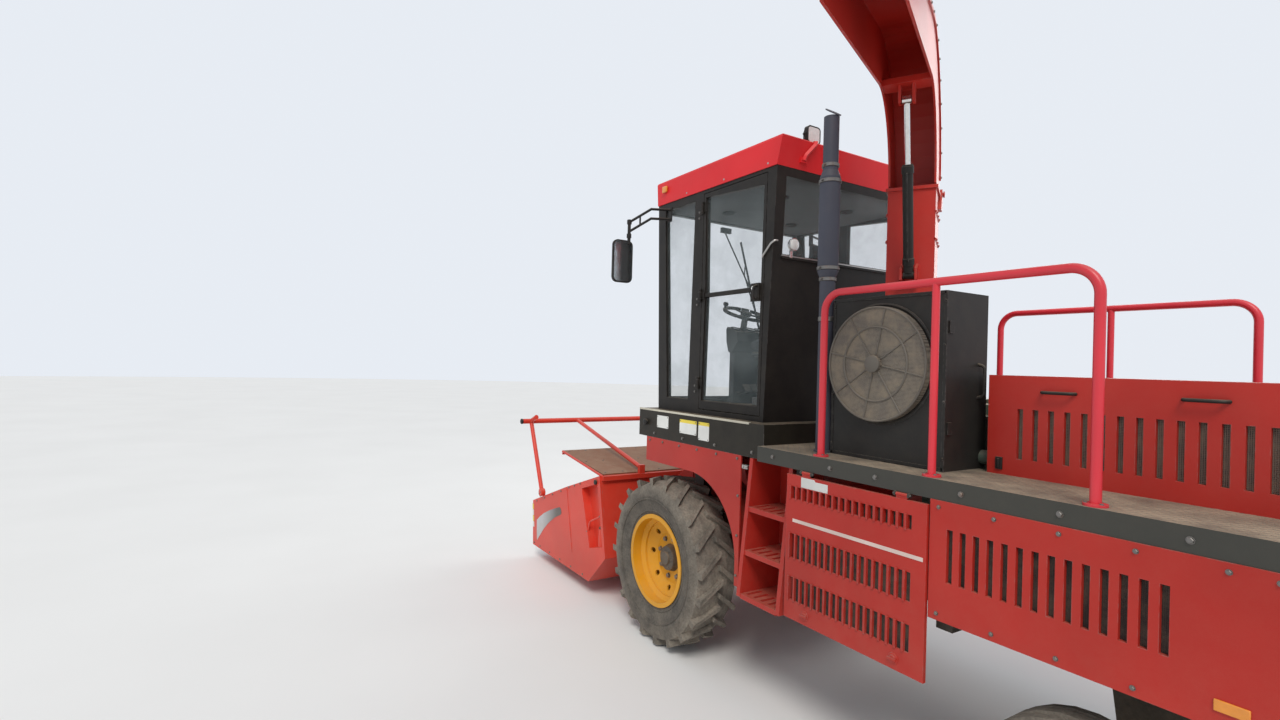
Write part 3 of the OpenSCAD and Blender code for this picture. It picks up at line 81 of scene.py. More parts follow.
class Nodes:
    """A material's node tree, with one short call for each node that the finishes below need."""

    def __init__(self, name):
        self.material = bpy.data.materials.new(name)
        self.material.use_nodes = True
        self.tree = self.material.node_tree
        self.shader = self.tree.nodes["Principled BSDF"]
        self.coords = self.node("TexCoord")
        self.place = self.coords.outputs["Object"]

    def node(self, kind, values=None, **settings):
        """A new node with its settings, and its sockets given or linked by name or number."""
        made = self.tree.nodes.new("ShaderNode" + kind)
        for name, value in settings.items():
            setattr(made, name, value)
        for name, value in (values or {}).items():
            self.link(value, made.inputs[name])
        return made

    def link(self, source, target):
        if not isinstance(source, bpy.types.NodeSocket):
            wide = isinstance(source, tuple) and target.type == "RGBA" and len(source) == 3
            target.default_value = (*source, 1.0) if wide else source
        else:
            self.tree.links.new(source, target)

    def noise(self, scale, detail=4.0, rough=0.55, stretch=None):
        place = self.mapped(stretch) if stretch else self.place
        values = {"Scale": scale, "Detail": detail, "Roughness": rough, "Vector": place}
        return self.node("TexNoise", values).outputs["Fac"]

    def mapped(self, scale=(1, 1, 1), turn=(0, 0, 0), shift=(0, 0, 0)):
        values = {"Scale": scale, "Rotation": turn, "Location": shift, "Vector": self.place}
        return self.node("Mapping", values).outputs["Vector"]

    def math(self, kind, a, b=0.0, clamp=False):
        return self.node("Math", {0: a, 1: b}, operation=kind, use_clamp=clamp).outputs["Value"]

    def times(self, a, b, clamp=False):
        return self.math("MULTIPLY", a, b, clamp)

    def plus(self, a, b, clamp=False):
        return self.math("ADD", a, b, clamp)

    def minus(self, a, b, clamp=False):
        return self.math("SUBTRACT", a, b, clamp)

    def span(self, value, low, high, out_low=0.0, out_high=1.0):
        """The value taken from low..high to out_low..out_high, and held at its ends."""
        values = {"From Min": low, "From Max": high, "To Min": out_low, "To Max": out_high, "Value": value}
        return self.node("MapRange", values).outputs["Result"]

    def mix(self, share, a, b):
        return self.node("Mix", {"Factor": share, 6: a, 7: b}, data_type="RGBA").outputs[2]

    def blend(self, share, a, b):
        return self.node("Mix", {"Factor": share, 2: a, 3: b}, data_type="FLOAT").outputs[0]

    def axis(self, vector, index):
        return self.node("SeparateXYZ", {0: vector}).outputs[index]

    def bump(self, height, strength, distance):
        made = self.node("Bump", {"Strength": strength, "Distance": distance, "Height": height})
        self.link(made.outputs["Normal"], self.shader.inputs["Normal"])

    def edges(self, radius):
        """1 on sharp edges and 0 on flat faces."""
        bevel = self.node("Bevel", {"Radius": radius}, samples=4).outputs["Normal"]
        flat = self.node("NewGeometry").outputs["True Normal"]
        dot = self.node("VectorMath", {0: bevel, 1: flat}, operation="DOT_PRODUCT")
        return self.span(dot.outputs["Value"], 0.995, 0.8)

    def done(self, colour, rough, metal=0.0, **sockets):
        self.link(colour, self.shader.inputs["Base Color"])
        self.link(rough, self.shader.inputs["Roughness"])
        self.link(metal, self.shader.inputs["Metallic"])
        for name, value in sockets.items():
            self.link(value, self.shader.inputs[name.replace("_", " ")])
        return self.material


def dusty(n, up, low, blotch_scale=9.0):
    """Share of dust: more where a face looks up, and more near the ground."""
    facing = n.axis(n.coords.outputs["Normal"], 2)
    height = n.axis(n.place, 2)
    blotch = n.noise(blotch_scale, 6.0, 0.65)
    grain = n.noise(blotch_scale * 11, 3.0, 0.6)
    lying = n.times(n.span(facing, 0.25, 1.0), up)
    splash = n.times(n.span(height, 1.25, 0.15), low)
    share = n.plus(n.plus(lying, splash), 0.03)
    share = n.times(share, n.span(blotch, 0.28, 0.72, 0.35, 1.35))
    return n.times(share, n.span(grain, 0.2, 0.8, 0.75, 1.2), clamp=True)


def paint(name, colour, rough=0.36, up=0.3, low=0.14, wear=0.55, bare=(0.23, 0.21, 0.2), coat=0.1, shine=0.5):
    """Sprayed enamel on sheet steel: fading, dust, splashes, worn edges and a faint orange peel."""
    n = Nodes(name)
    n.shader.inputs["Specular IOR Level"].default_value = shine
    fade = n.span(n.noise(1.1, 3.0), 0.3, 0.7)
    dark = tuple(c * 0.8 for c in colour)
    pale = tuple(min(1.0, c * 1.06 + 0.004) for c in colour)
    base = n.mix(fade, dark, pale)
    dust = dusty(n, up, low)
    edge_wear_and_tread_light = n.times(n.edges(0.006), n.span(n.noise(26, 5.0, 0.7), 0.45, 0.62), clamp=True)
    edge_wear_and_tread_light = n.times(edge_wear_and_tread_light, wear)
    base = n.mix(edge_wear_and_tread_light, base, bare)
    base = n.mix(dust, base, DUST)
    peel = n.plus(n.noise(420, 2.0), n.times(n.noise(7, 2.0), 1.6))
    n.bump(peel, 0.1, 0.004)
    return n.done(base, n.blend(dust, rough, 0.88), 0.0, Coat_Weight=coat, Coat_Roughness=0.18)


def steel(name, colour, rough=0.3, rust=0.15, brushed=(1, 1, 1)):
    """Bare or plated steel with rubbed streaks and a little rust."""
    n = Nodes(name)
    streak = n.noise(60, 5.0, 0.6, stretch=brushed)
    spots = n.span(n.noise(13, 6.0, 0.7), 0.56, 0.7)
    base = n.mix(n.span(streak, 0.3, 0.7), tuple(c * 0.82 for c in colour), colour)
    rusty = n.times(spots, rust)
    base = n.mix(rusty, base, (0.21, 0.09, 0.04))
    dust = dusty(n, 0.25, 0.25)
    base = n.mix(dust, base, DUST)
    n.bump(streak, 0.12, 0.002)
    metal = n.minus(1.0, n.plus(n.times(rusty, 0.8), dust), clamp=True)
    return n.done(base, n.blend(dust, rough, 0.85), metal)


def rubber(name, axle, wall, tread):
    """Tyre rubber with dry earth, more on the tread than on the sidewall by the distance from the axle; the
    tread's extra lightness is partly real earth and partly painted sunlight.
    """
    n = Nodes(name)
    cake = n.span(n.noise(6, 7.0, 0.68), 0.36, 0.66)
    fine = n.noise(70, 5.0, 0.65)
    ahead = n.minus(n.axis(n.place, 0), axle[0] + ORIGIN.x)
    up = n.minus(n.axis(n.place, 2), axle[1])
    radius = n.math("SQRT", n.plus(n.times(ahead, ahead), n.times(up, up)))
    # Share that lightens toward the tread: partly dry earth, partly painted sunlight on the tread
    edge_wear_and_tread_light = n.span(radius, wall, tread, 0.42, 0.85)
    dust = n.times(n.span(cake, 0, 1, 0.35, 1.0), edge_wear_and_tread_light, clamp=True)
    base = n.mix(n.span(fine, 0.3, 0.7), (0.028, 0.026, 0.024), (0.055, 0.05, 0.044))
    base = n.mix(dust, base, n.mix(n.span(fine, 0.25, 0.75), (0.23, 0.19, 0.145), (0.4, 0.345, 0.275)))
    n.bump(n.plus(n.times(fine, 0.5), cake), 0.35, 0.006)
    return n.done(base, 0.92)


def chequer(name, colour):
    """Chequer plate: short lozenges in a basket pattern, worn bright on top and dusty between."""
    n = Nodes(name)

    def bars(turn, shift):
        spot = n.mapped((1, 1, 0), (0, 0, turn), shift)
        scaled = n.node("VectorMath", {0: spot, 1: (30.0, 30.0, 0.0)}, operation="MULTIPLY")
        cell = {0: scaled.outputs[0], 1: (0.5, 0.5, 0.5), 2: (-0.5, -0.5, -0.5)}
        wave = n.node("VectorMath", cell, operation="WRAP").outputs[0]
        x = n.math("DIVIDE", n.axis(wave, 0), 0.4)
        y = n.math("DIVIDE", n.axis(wave, 1), 0.13)
        return n.span(n.plus(n.times(x, x), n.times(y, y)), 1.0, 0.35)

    raised = n.math("MAXIMUM", bars(radians(45), (0, 0, 0)), bars(radians(-45), (0.0167, 0, 0)))
    top = n.span(n.axis(n.coords.outputs["Normal"], 2), 0.4, 0.7)
    raised = n.times(raised, top)
    dust = dusty(n, 0.85, 0.05, 5.0)
    dust = n.times(dust, n.blend(raised, 1.0, 0.45), clamp=True)
    base = n.mix(n.times(raised, 0.5), colour, (0.32, 0.31, 0.29))
    base = n.mix(dust, base, DUST)
    n.bump(raised, 0.9, 0.003)
    return n.done(base, n.blend(dust, 0.5, 0.9), 0.2)


def plastic(name, colour, rough=0.5, grain=240.0, dust_up=0.3, shine=0.5):
    """Moulded plastic or powder coat with a fine grain."""
    n = Nodes(name)
    n.shader.inputs["Specular IOR Level"].default_value = shine
    dust = dusty(n, dust_up, 0.12)
    tone = n.span(n.noise(3.5, 4.0), 0.3, 0.7)
    base = n.mix(tone, tuple(c * 0.8 for c in colour), tuple(c * 1.12 for c in colour))
    n.bump(n.noise(grain, 2.0), 0.18, 0.002)
    return n.done(n.mix(dust, base, DUST), n.blend(dust, rough, 0.9))


def glass(name, colour=(0.3, 0.36, 0.37), cover=0.08):
    """Safety glass: clear, a little green, with blotches of dust."""
    n = Nodes(name)
    dust = n.times(n.span(n.noise(2.6, 5.0, 0.6), 0.42, 0.72), 0.09)
    base = n.mix(dust, colour, (0.62, 0.58, 0.5))
    n.done(base, n.blend(dust, 0.03, 0.35), 0.0, Alpha=n.plus(dust, cover, clamp=True), IOR=1.5)
    n.material.surface_render_method = "BLENDED"
    return n.material


def lens(name, colour, rough=0.12, ribs=90.0, glow=0.0):
    """Ribbed lamp lens."""
    n = Nodes(name)
    wave = n.math("SINE", n.times(n.axis(n.place, 1), ribs * 6.283))
    n.bump(wave, 0.35, 0.002)
    tone = n.span(n.noise(30, 3.0), 0.3, 0.7)
    base = n.mix(tone, tuple(c * 0.85 for c in colour), colour)
    return n.done(base, rough, 0.0, Coat_Weight=0.6, Emission_Strength=glow)


def cloth(name, colour):
    """Woven seat cover."""
    n = Nodes(name)
    across = n.math("SINE", n.times(n.axis(n.place, 0), 2200.0))
    along = n.math("SINE", n.times(n.axis(n.place, 1), 2200.0))
    weave = n.times(across, along)
    tone = n.span(n.noise(7, 5.0), 0.3, 0.7)
    base = n.mix(tone, tuple(c * 0.7 for c in colour), tuple(c * 1.25 for c in colour))
    n.bump(weave, 0.4, 0.001)
    return n.done(base, 0.95, 0.0, Sheen_Weight=0.25)


def perforated(name, colour, full=0.45):
    """Woven wire or punched sheet, full of chaff, with painted shade in its holes."""
    n = Nodes(name)
    grid = {"Scale": 150.0, "Randomness": 0.0, "Vector": n.mapped((1, 0, 1))}
    cell = n.node("TexVoronoi", grid, feature="F1")
    hole = n.span(cell.outputs["Distance"], 0.34, 0.26)
    chaff = n.span(n.noise(10, 7.0, 0.7), 0.42, 0.66)
    # The holes are not cut: the near black in them is painted shade, lighter where chaff fills them
    base = n.mix(n.times(hole, n.span(chaff, 0, 1, 1.0, 0.35)), colour, (0.02, 0.018, 0.016))
    base = n.mix(n.times(chaff, full), base, (0.33, 0.26, 0.17))
    n.bump(n.minus(1.0, hole), 0.6, 0.002)
    return n.done(base, 0.75, 0.25)


def swoosh(name):
    """Blank painted mark that fades from silver in front to dark grey behind."""
    n = Nodes(name)
    share = n.span(n.axis(n.place, 0), 1.8 + ORIGIN.x, 2.16 + ORIGIN.x)
    base = n.mix(share, (0.045, 0.05, 0.058), (0.56, 0.57, 0.6))
    dust = dusty(n, 0.1, 0.35)
    n.bump(n.noise(160, 2.0), 0.1, 0.002)
    return n.done(n.mix(dust, base, DUST), n.blend(dust, 0.35, 0.9), 0.0)


M = {
    "frame": paint("frame_paint", (0.014, 0.014, 0.014), rough=0.5, up=0.4, low=0.35, coat=0.0, shine=0.25),
    "red": paint("red_paint", RED, rough=0.4, up=0.25, low=0.09, coat=0.04, shine=0.32),
    "rail": paint("rail_paint", RAIL_RED, up=0.15, low=0.0),
    "header": paint("header_paint", HEADER_RED, up=0.14, low=0.07, wear=0.7, shine=0.35),
    "roof": paint("roof_paint", ROOF_RED, rough=0.45, up=0.15, low=0.0, wear=0.15, coat=0.0, shine=0.35),
    "rim": paint("rim_paint", YELLOW, rough=0.4, up=0.08, low=0.09, wear=0.6, shine=0.25),
    "beam": paint("beam_paint", (0.014, 0.012, 0.008), rough=0.5, up=0.35, low=0.0, wear=0.7, coat=0.0,
        shine=0.25),
    "engine": paint("engine_paint", (0.1, 0.14, 0.11), rough=0.5, up=0.5, low=0.2, coat=0.05),
    "stack": paint("stack_paint", (0.045, 0.05, 0.075), rough=0.6, up=0.2, low=0.0, wear=0.7, coat=0.0),
    "tank": paint("tank_paint", (0.035, 0.035, 0.037), rough=0.5, up=0.5, low=0.3, coat=0.1),
    "crop_deck": paint("crop_deck_paint", (0.22, 0.085, 0.04), rough=0.6, up=0.22, low=0.1, wear=0.9,
        coat=0.0, shine=0.3),
    "cab": paint("cab_paint", (0.008, 0.007, 0.007), rough=0.45, up=0.3, low=0.0, wear=0.3, coat=0.0,
        shine=0.22),
    "tyre": rubber("front_tyre_rubber", (0.0, WHEELS["front"]["z"]), 0.46, 0.58),
    "rear_tyre": rubber("rear_tyre_rubber", (WHEELS["rear"]["x"], WHEELS["rear"]["z"]), 0.28, 0.38),
    "deck": chequer("deck_plate", (0.04, 0.04, 0.033)),
    "steel": steel("bright_steel", (0.5, 0.49, 0.47), rough=0.38, rust=0.5),
    "chrome": steel("chrome_rod", (0.8, 0.8, 0.79), rough=0.12, rust=0.03),
    "screen": perforated("screen_mesh", (0.22, 0.19, 0.155)),
    "vent_mesh": perforated("vent_mesh", (0.045, 0.035, 0.03), 0.2),
    "trim": plastic("trim", (0.014, 0.014, 0.015), shine=0.25),
    "seat": cloth("seat_cloth", (0.035, 0.035, 0.04)),
    "glass": glass("glass"),
    "white": plastic("white_sheet", (0.8, 0.8, 0.76), rough=0.4, dust_up=0.1),
    "amber": lens("amber_lens", (0.85, 0.3, 0.03)),
    "clear": lens("clear_lens", (0.8, 0.78, 0.76), ribs=60.0),
    "red_lens": lens("red_lens", (0.55, 0.01, 0.01)),
    "nut": steel("zinc_bolts", (0.22, 0.21, 0.2), rough=0.45, rust=0.7),
    "hub": paint("hub_paint", (0.03, 0.027, 0.024), rough=0.5, up=0.3, low=0.35, wear=0.9, coat=0.0),
    "mirror": steel("mirror_glass", (0.62, 0.66, 0.68), rough=0.04, rust=0.0),
    "liner": plastic("ceiling_liner", (0.062, 0.069, 0.074), rough=0.85, grain=500.0, dust_up=0.0),
    "mat": plastic("floor_rubber", (0.022, 0.022, 0.022), rough=0.8, grain=90.0, dust_up=0.5, shine=0.2),
    "dial": plastic("dial_face", (0.55, 0.56, 0.54), rough=0.3, grain=30.0, dust_up=0.05),
    "plate_yellow": plastic("yellow_sheet", (0.85, 0.66, 0.06), rough=0.4, dust_up=0.1),
    # Pale pink strip on the side doors: a painted highlight along the edge of a fold
    "painted_highlight": plastic("painted_highlight_strip", (0.74, 0.58, 0.52), rough=0.4, dust_up=0.1),
    "edge_trim": plastic("edge_trim", (0.62, 0.58, 0.47), rough=0.5, dust_up=0.4),
    "swoosh": swoosh("side_mark"),
    "screen_bars": plastic("screen_bars", (0.13, 0.115, 0.095), rough=0.6, dust_up=0.4),
}

# CAD nodes by finish
FINISHES = {
    "frame": ["chassis_frame", "front_axle", "rear_axle", "steering_knuckle_left", "steering_knuckle_right",
              "rear_bumper", "radiator_box", "lift_barrels", "spout_barrel"],
    "rail": ["handrails"],
    "red": ["wheel_fenders", "stairs", "side_door_left", "side_door_right", "rear_side_panels",
            "engine_hood", "cutter_housing", "feed_house", "spout_neck", "spout_boom", "spout_flap"],
    "header": ["header_box", "header_sides", "push_bar", "crop_dividers", "gathering_drum_left",
               "gathering_drum_right"],
    "roof": ["cab_roof"],
    "rim": ["front_rim_left", "front_rim_right", "rear_rim_left", "rear_rim_right"],
    "beam": ["cab_platform"],
    "engine": ["engine_block"],
    "stack": ["exhaust_stack"],
    "tank": ["fuel_tank"],
    "crop_deck": ["header_deck"],
    "cab": ["cab_frame", "cab_door"],
    "tyre": ["front_tyre_left", "front_tyre_right"],
    "rear_tyre": ["rear_tyre_left", "rear_tyre_right"],
    "deck": ["decks"],
    "steel": ["cutting_disc_left", "cutting_disc_right", "feed_roll_upper", "feed_roll_lower", "tie_rod"],
    "chrome": ["lift_rods", "spout_rod"],
    "screen": ["rotary_screen"],
    "trim": ["cab_lamps", "mirrors", "console"],
    "seat": ["seat"],
    "glass": ["door_glass", "windscreen", "cab_glass"],
}
for finish, names in FINISHES.items():
    for name in names:
        node = NODES[name]
        node.data.materials.clear()
        node.data.materials.append(M[finish])


# Mesh makers: each takes its points in the row frame, so that a piece's object stays at the origin

def piece(name, mesh, finish, body):
    obj = bpy.data.objects.new(name, mesh)
    bpy.context.scene.collection.objects.link(obj)
    mesh.materials.append(M[finish])
    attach(obj, body)
    return obj


def mesh_of(name, bm, smooth=False):
    bmesh.ops.recalc_face_normals(bm, faces=bm.faces)
    mesh = bpy.data.meshes.new(name)
    bm.to_mesh(mesh)
    bm.free()
    for face in mesh.polygons:
        face.use_smooth = smooth
    return mesh


def softened(obj, width, segments=2):
    """Rounds the edges of a piece."""
    bevel = obj.modifiers.new("edges", "BEVEL")
    bevel.width = width
    bevel.segments = segments
    bevel.limit_method = "ANGLE"
    return obj


class Shape:
    """One mesh put together from simple bodies, placed in metres from the machine's own origin."""

    def __init__(self):
        self.bm = bmesh.new()

    def box(self, low, high):
        low, high = at(*low), at(*high)
        made = bmesh.ops.create_cube(self.bm, size=1.0)["verts"]
        bmesh.ops.scale(self.bm, vec=high - low, verts=made)
        bmesh.ops.translate(self.bm, vec=(low + high) / 2, verts=made)
        return self

    def prism(self, outline, low, high, axis=1):
        """An outline in the two other directions, taken from low to high along the axis."""
        ends = []
        for level in (low, high):
            ring = []
            for pair in outline:
                point = list(pair)
                point.insert(axis, level)
                ring.append(self.bm.verts.new(at(*point)))
            ends.append(ring)
        self.bm.faces.new(ends[0])
        self.bm.faces.new(list(reversed(ends[1])))
        self.join(ends)
        return self

    def join(self, rings):
        for one, two in zip(rings, rings[1:]):
            n = max(len(one), len(two))
            for i in range(n):
                k = (i + 1) % n
                face = [one[i % len(one)], one[k % len(one)], two[k % len(two)], two[i % len(two)]]
                self.bm.faces.new(list(dict.fromkeys(face)))

    def lathe(self, profile, centre, axis, sides=24):
        """(along, radius) pairs turned about an axis through the centre, with flat ends."""
        axis = Vector(axis).normalized()
        side = axis.orthogonal().normalized()
        other = axis.cross(side)
        rings = []
        for along, radius in profile:
            middle = at(*centre) + axis * along
            turns = [2 * pi * k / sides for k in range(sides)] if radius else [0.0]
            rings.append([self.bm.verts.new(middle + radius * (cos(t) * side + sin(t) * other)) for t in turns])
        self.join(rings)
        for ring in (rings[0], rings[-1]) if profile[0] != profile[-1] else ():
            if len(ring) > 1:
                self.bm.faces.new(ring)
        return self

    def tube(self, points, radius, bend=0.0, sides=10):
        """Pipe through the points, with its corners rounded off by the bend."""
        path = rounded([at(*p) for p in points], bend)
        ahead = (path[1] - path[0]).normalized()
        side = ahead.orthogonal().normalized()
        rings = []
        for i, point in enumerate(path):
            before = path[max(i - 1, 0)]
            after = path[min(i + 1, len(path) - 1)]
            ahead = (after - before).normalized()
            side = (side - ahead * side.dot(ahead)).normalized()
            other = ahead.cross(side)
            rings.append([self.bm.verts.new(point + radius * (cos(t) * side + sin(t) * other))
                for t in (2 * pi * k / sides for k in range(sides))])
        self.join(rings)
        self.bm.faces.new(rings[0])
        self.bm.faces.new(rings[-1])
        return self

    def loop(self, points, radius):
        """Closed bead through the points."""
        return self.tube(points + points[:1], radius, 0, 6)

    def bolts(self, places, axis, across=0.017, height=0.008):
        """Hexagon heads on washers, out along the axis."""
        wide = across / sqrt(3)
        for place in places:
            self.lathe([(0, across * 0.72), (0.0015, across * 0.7)], place, axis, 14)
            self.lathe([(0.001, wide), (height * 0.85, wide), (height, wide * 0.85)], place, axis, 6)
        return self

    def on(self, side):
        """The same bodies on the machine's other side, in place of these, where the side is the right."""
        if side == "right":
            self.mirror(self.bm.verts)
        return self

    def mirror(self, verts):
        for v in verts:
            v.co.y = 2 * ORIGIN.y - v.co.y

    def done(self, name, finish, round_by=0.0, body="machine", both=False):
        if both:
            copy = bmesh.ops.duplicate(self.bm, geom=self.bm.verts[:] + self.bm.edges[:] + self.bm.faces[:])
            self.mirror([v for v in copy["geom"] if isinstance(v, bmesh.types.BMVert)])
        mesh = mesh_of(name, self.bm, smooth=True)
        mesh.set_sharp_from_angle(angle=SHARP_FROM)
        obj = piece(name, mesh, finish, body)
        return softened(obj, round_by) if round_by else obj


def rounded(points, bend, steps=5):
    """The same path with each corner cut by a smooth curve."""
    if not bend or len(points) < 3:
        return points
    path = [points[0]]
    for before, corner, after in zip(points, points[1:], points[2:]):
        reach = min(bend, (corner - before).length * 0.48, (after - corner).length * 0.48)
        start = corner + (before - corner).normalized() * reach
        end = corner + (after - corner).normalized() * reach
        for k in range(steps + 1):
            t = k / steps
            path.append(start * (1 - t) ** 2 + corner * (2 * t * (1 - t)) + end * t ** 2)
    return path + [points[-1]]


def polar(radius, count, start=0.0):
    return [(radius * cos(start + 2 * pi * k / count),
        radius * sin(start + 2 * pi * k / count)) for k in range(count)]


def hexagon(level, radius, half, high=None):
    """Closed six-sided section of a ring, half wide and high to each side of its middle."""
    return [(level + half * cos(turn),
        radius + (high or half) * sin(turn)) for turn in (radians(60 * (k % 6)) for k in range(7))]


def round_rect(low, high, r, steps=4):
    """Rectangle between two corners, with rounded corners."""
    outline = []
    for cx, cy, turn in ((high[0] - r, high[1] - r, 0), (low[0] + r, high[1] - r, 90),
            (low[0] + r, low[1] + r, 180), (high[0] - r, low[1] + r, 270)):
        for k in range(steps + 1):
            angle = radians(turn + 90 * k / steps)
            outline.append((cx + r * cos(angle), cy + r * sin(angle)))
    return outline


def wheel_fittings():
    for end, w in WHEELS.items():
        for side in ("left", "right"):

            def finish(shape, name, material):
                shape.on(side).done(f"{end}_{name}_{side}", material, body=f"{end}_wheel_{side}")

            face = w["y"] + w["face"]
            nuts = Shape().bolts([(w["x"] + a, face, w["z"] + b) for a, b in polar(w["nuts"], w["count"], 0.2)],
                LEFT, w["across"], 0.018)
            finish(nuts, "wheel_nuts", "nut")
            r, out = w["hub"], w["out"]
            cap = [(0, r), (out, r * 0.86), (out + 0.004, r * 0.76), (out + 0.006, r * 0.5),
                (out + 0.02, r * 0.46), (out + 0.024, r * 0.38), (out + 0.024, 0)]
            hub = Shape().lathe(cap, (w["x"], face, w["z"]), LEFT, 32)
            hub.bolts([(w["x"] + a, face + out + 0.003, w["z"] + b) for a, b in polar(r * 0.64, 6)], LEFT,
                r * 0.15, 0.007)
            finish(hub, "hub_cap", "hub")
            valve = Shape().tube([(w["x"], face + 0.03, w["z"] + w["valve"]),
                (w["x"], face + 0.06, w["z"] + w["valve"]), (w["x"], face + 0.075,
                w["z"] + w["valve"] - 0.015)], 0.005, 0.01, 8)
            finish(valve, "valve_stem", "trim")
            rings = Shape()
            for radius, level, thick in w["rings"]:
                for sign in (1, -1):
                    section = [(sign * a, b) for a, b in hexagon(level, radius, thick)]
                    rings.lathe(section, (w["x"], w["y"], w["z"]), LEFT, 72)
            finish(rings, "sidewall_rings", "tyre" if end == "front" else "rear_tyre")


def cab_fittings():
    # The cab's front and rear faces lean outward from its floor to its roof
    front = lambda z: 0.272 + (z - CAB_FLOOR) / CAB_HEIGHT * 0.078
    rear = lambda z: -0.957 - (z - CAB_FLOOR) / CAB_HEIGHT * 0.074
    # Lamps: square rear work lamps on straps over the roof's edge, front work lamps, markers
    lamps = Shape()
    for inset, x0, x1 in ((0.0, -1.03, -1.0), (0.01, -1.001, -0.986), (0.026, -0.987, -0.968)):
        face = round_rect((0.415 + inset, 3.628 + inset), (0.535 - inset, 3.743 - inset), 0.024, 6)
        lamps.prism(face, x0, x1, 0)
    for y in (0.409, 0.535):
        lamps.box((-1.018, y, 3.622), (-0.998, y + 0.006, 3.7))
    lamps.box((-1.018, 0.409, 3.6215), (-0.998, 0.541, 3.6265))
    lamps.prism([(0.3575, 3.4745), (0.4105, 3.4785), (0.4105, 3.5535), (0.365, 3.5575)], 0.481, 0.659)
    lamps.box((0.216, 0.8025, 3.523), (0.264, 0.8065, 3.563))
    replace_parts(lamps.done("lamp_housings", "trim", 0.004, both=True), "cab_lamps")
    lenses = Shape().prism(round_rect((0.423, 3.636), (0.527, 3.735), 0.018, 6), -1.034, -1.029, 0)
    lenses.prism(round_rect((0.49, 3.486), (0.65, 3.547), 0.01), 0.41, 0.4155, 0)
    lenses.done("work_lamp_lenses", "clear", both=True)
    rims = Shape()
    for x, low, high, r in ((-1.0315, (0.418, 3.631), (0.532, 3.74), 0.022),
            (0.4125, (0.482, 3.478), (0.658, 3.554), 0.014)):
        rims.loop([(x, a, b) for a, b in round_rect(low, high, r, 6)], 0.005)
    rims.bolts([(-1.008, 0.541, 3.686)], LEFT, 0.014, 0.008)
    rims.done("work_lamp_rims", "trim", both=True)
    straps = Shape().tube([(-1.008, 0.48, 3.618), (-1.076, 0.5, 3.618), (-1.088, 0.515, 3.596),
        (-1.066, 0.578, 3.52), (-1.058, 0.588, 3.486)], 0.015, 0.01, 4)
    straps.box((-1.06, 0.56, 3.47), (-1.04, 0.616, 3.506))
    straps.bolts([(-1.06, 0.574, 3.488), (-1.06, 0.603, 3.488)], BACK, 0.011, 0.005)
    straps.done("work_lamp_straps", "roof", both=True)
    Shape().box((0.209, 0.8035, 3.517), (0.271, 0.8235, 3.569)).done("marker_lamps", "amber", 0.008, both=True)
    # Mirrors seen from the driver's side
    Shape().prism(round_rect((1.05, 2.78), (1.21, 3.1), 0.036), 0.3375, 0.3405, 0).done("mirror_glasses",
        "mirror", both=True)
    clamps = Shape()
    for z in (3.145, 3.255):
        clamps.lathe([(-0.016, 0.019), (0.016, 0.019)], (0.33, 1.085, z), UP, 16)
    clamps.bolts([(0.172, 0.803, 3.29), (0.172, 0.803, 3.362)], LEFT, 0.013, 0.006)
    clamps.done("mirror_clamps", "trim", both=True)
    # Wiper, hung from the windscreen's head
    x = lambda z, off: front(z) + off
    wiper = Shape().box((x(3.33, -0.02), 0.035, 3.3), (x(3.33, 0.006), 0.14, 3.345))
    wiper.lathe([(0, 0.014), (0.014, 0.014), (0.018, 0.01)], (x(3.318, 0.002), 0.086, 3.318), (1, 0, 0), 16)
    wiper.tube([(x(3.318, 0.012), 0.086, 3.318), (x(3.2, 0.008), 0.02, 3.2), (x(2.84, -0.002), -0.19, 2.84)],
        0.0065, 0.03, 8)
    wiper.tube([(x(3.24, -0.011), -0.08, 3.24), (x(2.44, -0.011), -0.3, 2.44)], 0.009, 0, 6)
    wiper.tube([(x(3.04, -0.006), -0.135, 3.04), (x(2.95, 0.0), -0.128, 2.95), (x(2.64, -0.006), -0.245, 2.64)],
        0.005, 0.03, 6)
    wiper.done("wiper", "trim")
    # Rear wall: round lamp on its foot, drip strip under the window, strap on the corner
    lamp = Shape().lathe([(0, 0.03), (0.018, 0.04), (0.034, 0.043), (0.038, 0.04), (0.036, 0.036)],
        (rear(2.93) - 0.004, 0.643, 2.93), BACK, 28)
    lamp.box((rear(2.86) - 0.016, 0.632, 2.846), (rear(2.86) - 0.006, 0.654, 2.9))
    lamp.done("rear_round_lamp", "chrome", 0.002)
    Shape().lathe([(0.034, 0.037), (0.04, 0.03), (0.044, 0.014), (0.045, 0)], (rear(2.93) - 0.004, 0.643, 2.93),
        BACK, 28).done("rear_round_lens", "clear")
    Shape().box((rear(2.857) - 0.012, -0.715, 2.85), (rear(2.857) + 0.002, 0.72,
        2.861)).done("rear_drip_strip", "steel", 0.002)
    strap = Shape().tube([(-0.925, 0.794, 2.845), (-0.925, 0.806, 2.85), (-1.0, 0.806, 2.925),
        (-1.024, 0.792, 2.944), (-1.024, 0.77, 2.944)], 0.007, 0.012, 8)
    strap.done("rear_corner_strap", "steel")
    # Ceiling, with its air vents
    Shape().box((-0.985, -0.748, 3.376), (0.305, 0.748, 3.404)).done("headliner", "liner", 0.01)
    vents = Shape()
    for x0 in (-0.62, -0.02):
        for y0 in (0.35, -0.35):
            vents.lathe([(0, 0.052), (0.012, 0.05), (0.012, 0.042), (0.006, 0.04)], (x0, y0, 3.377), (0, 0, -1),
                28)
            for k in range(-2, 3):
                vents.box((x0 + k * 0.016 - 0.002, y0 - 0.036, 3.362),
                    (x0 + k * 0.016 + 0.002, y0 + 0.036, 3.373))
    vents.done("ceiling_vents", "trim")
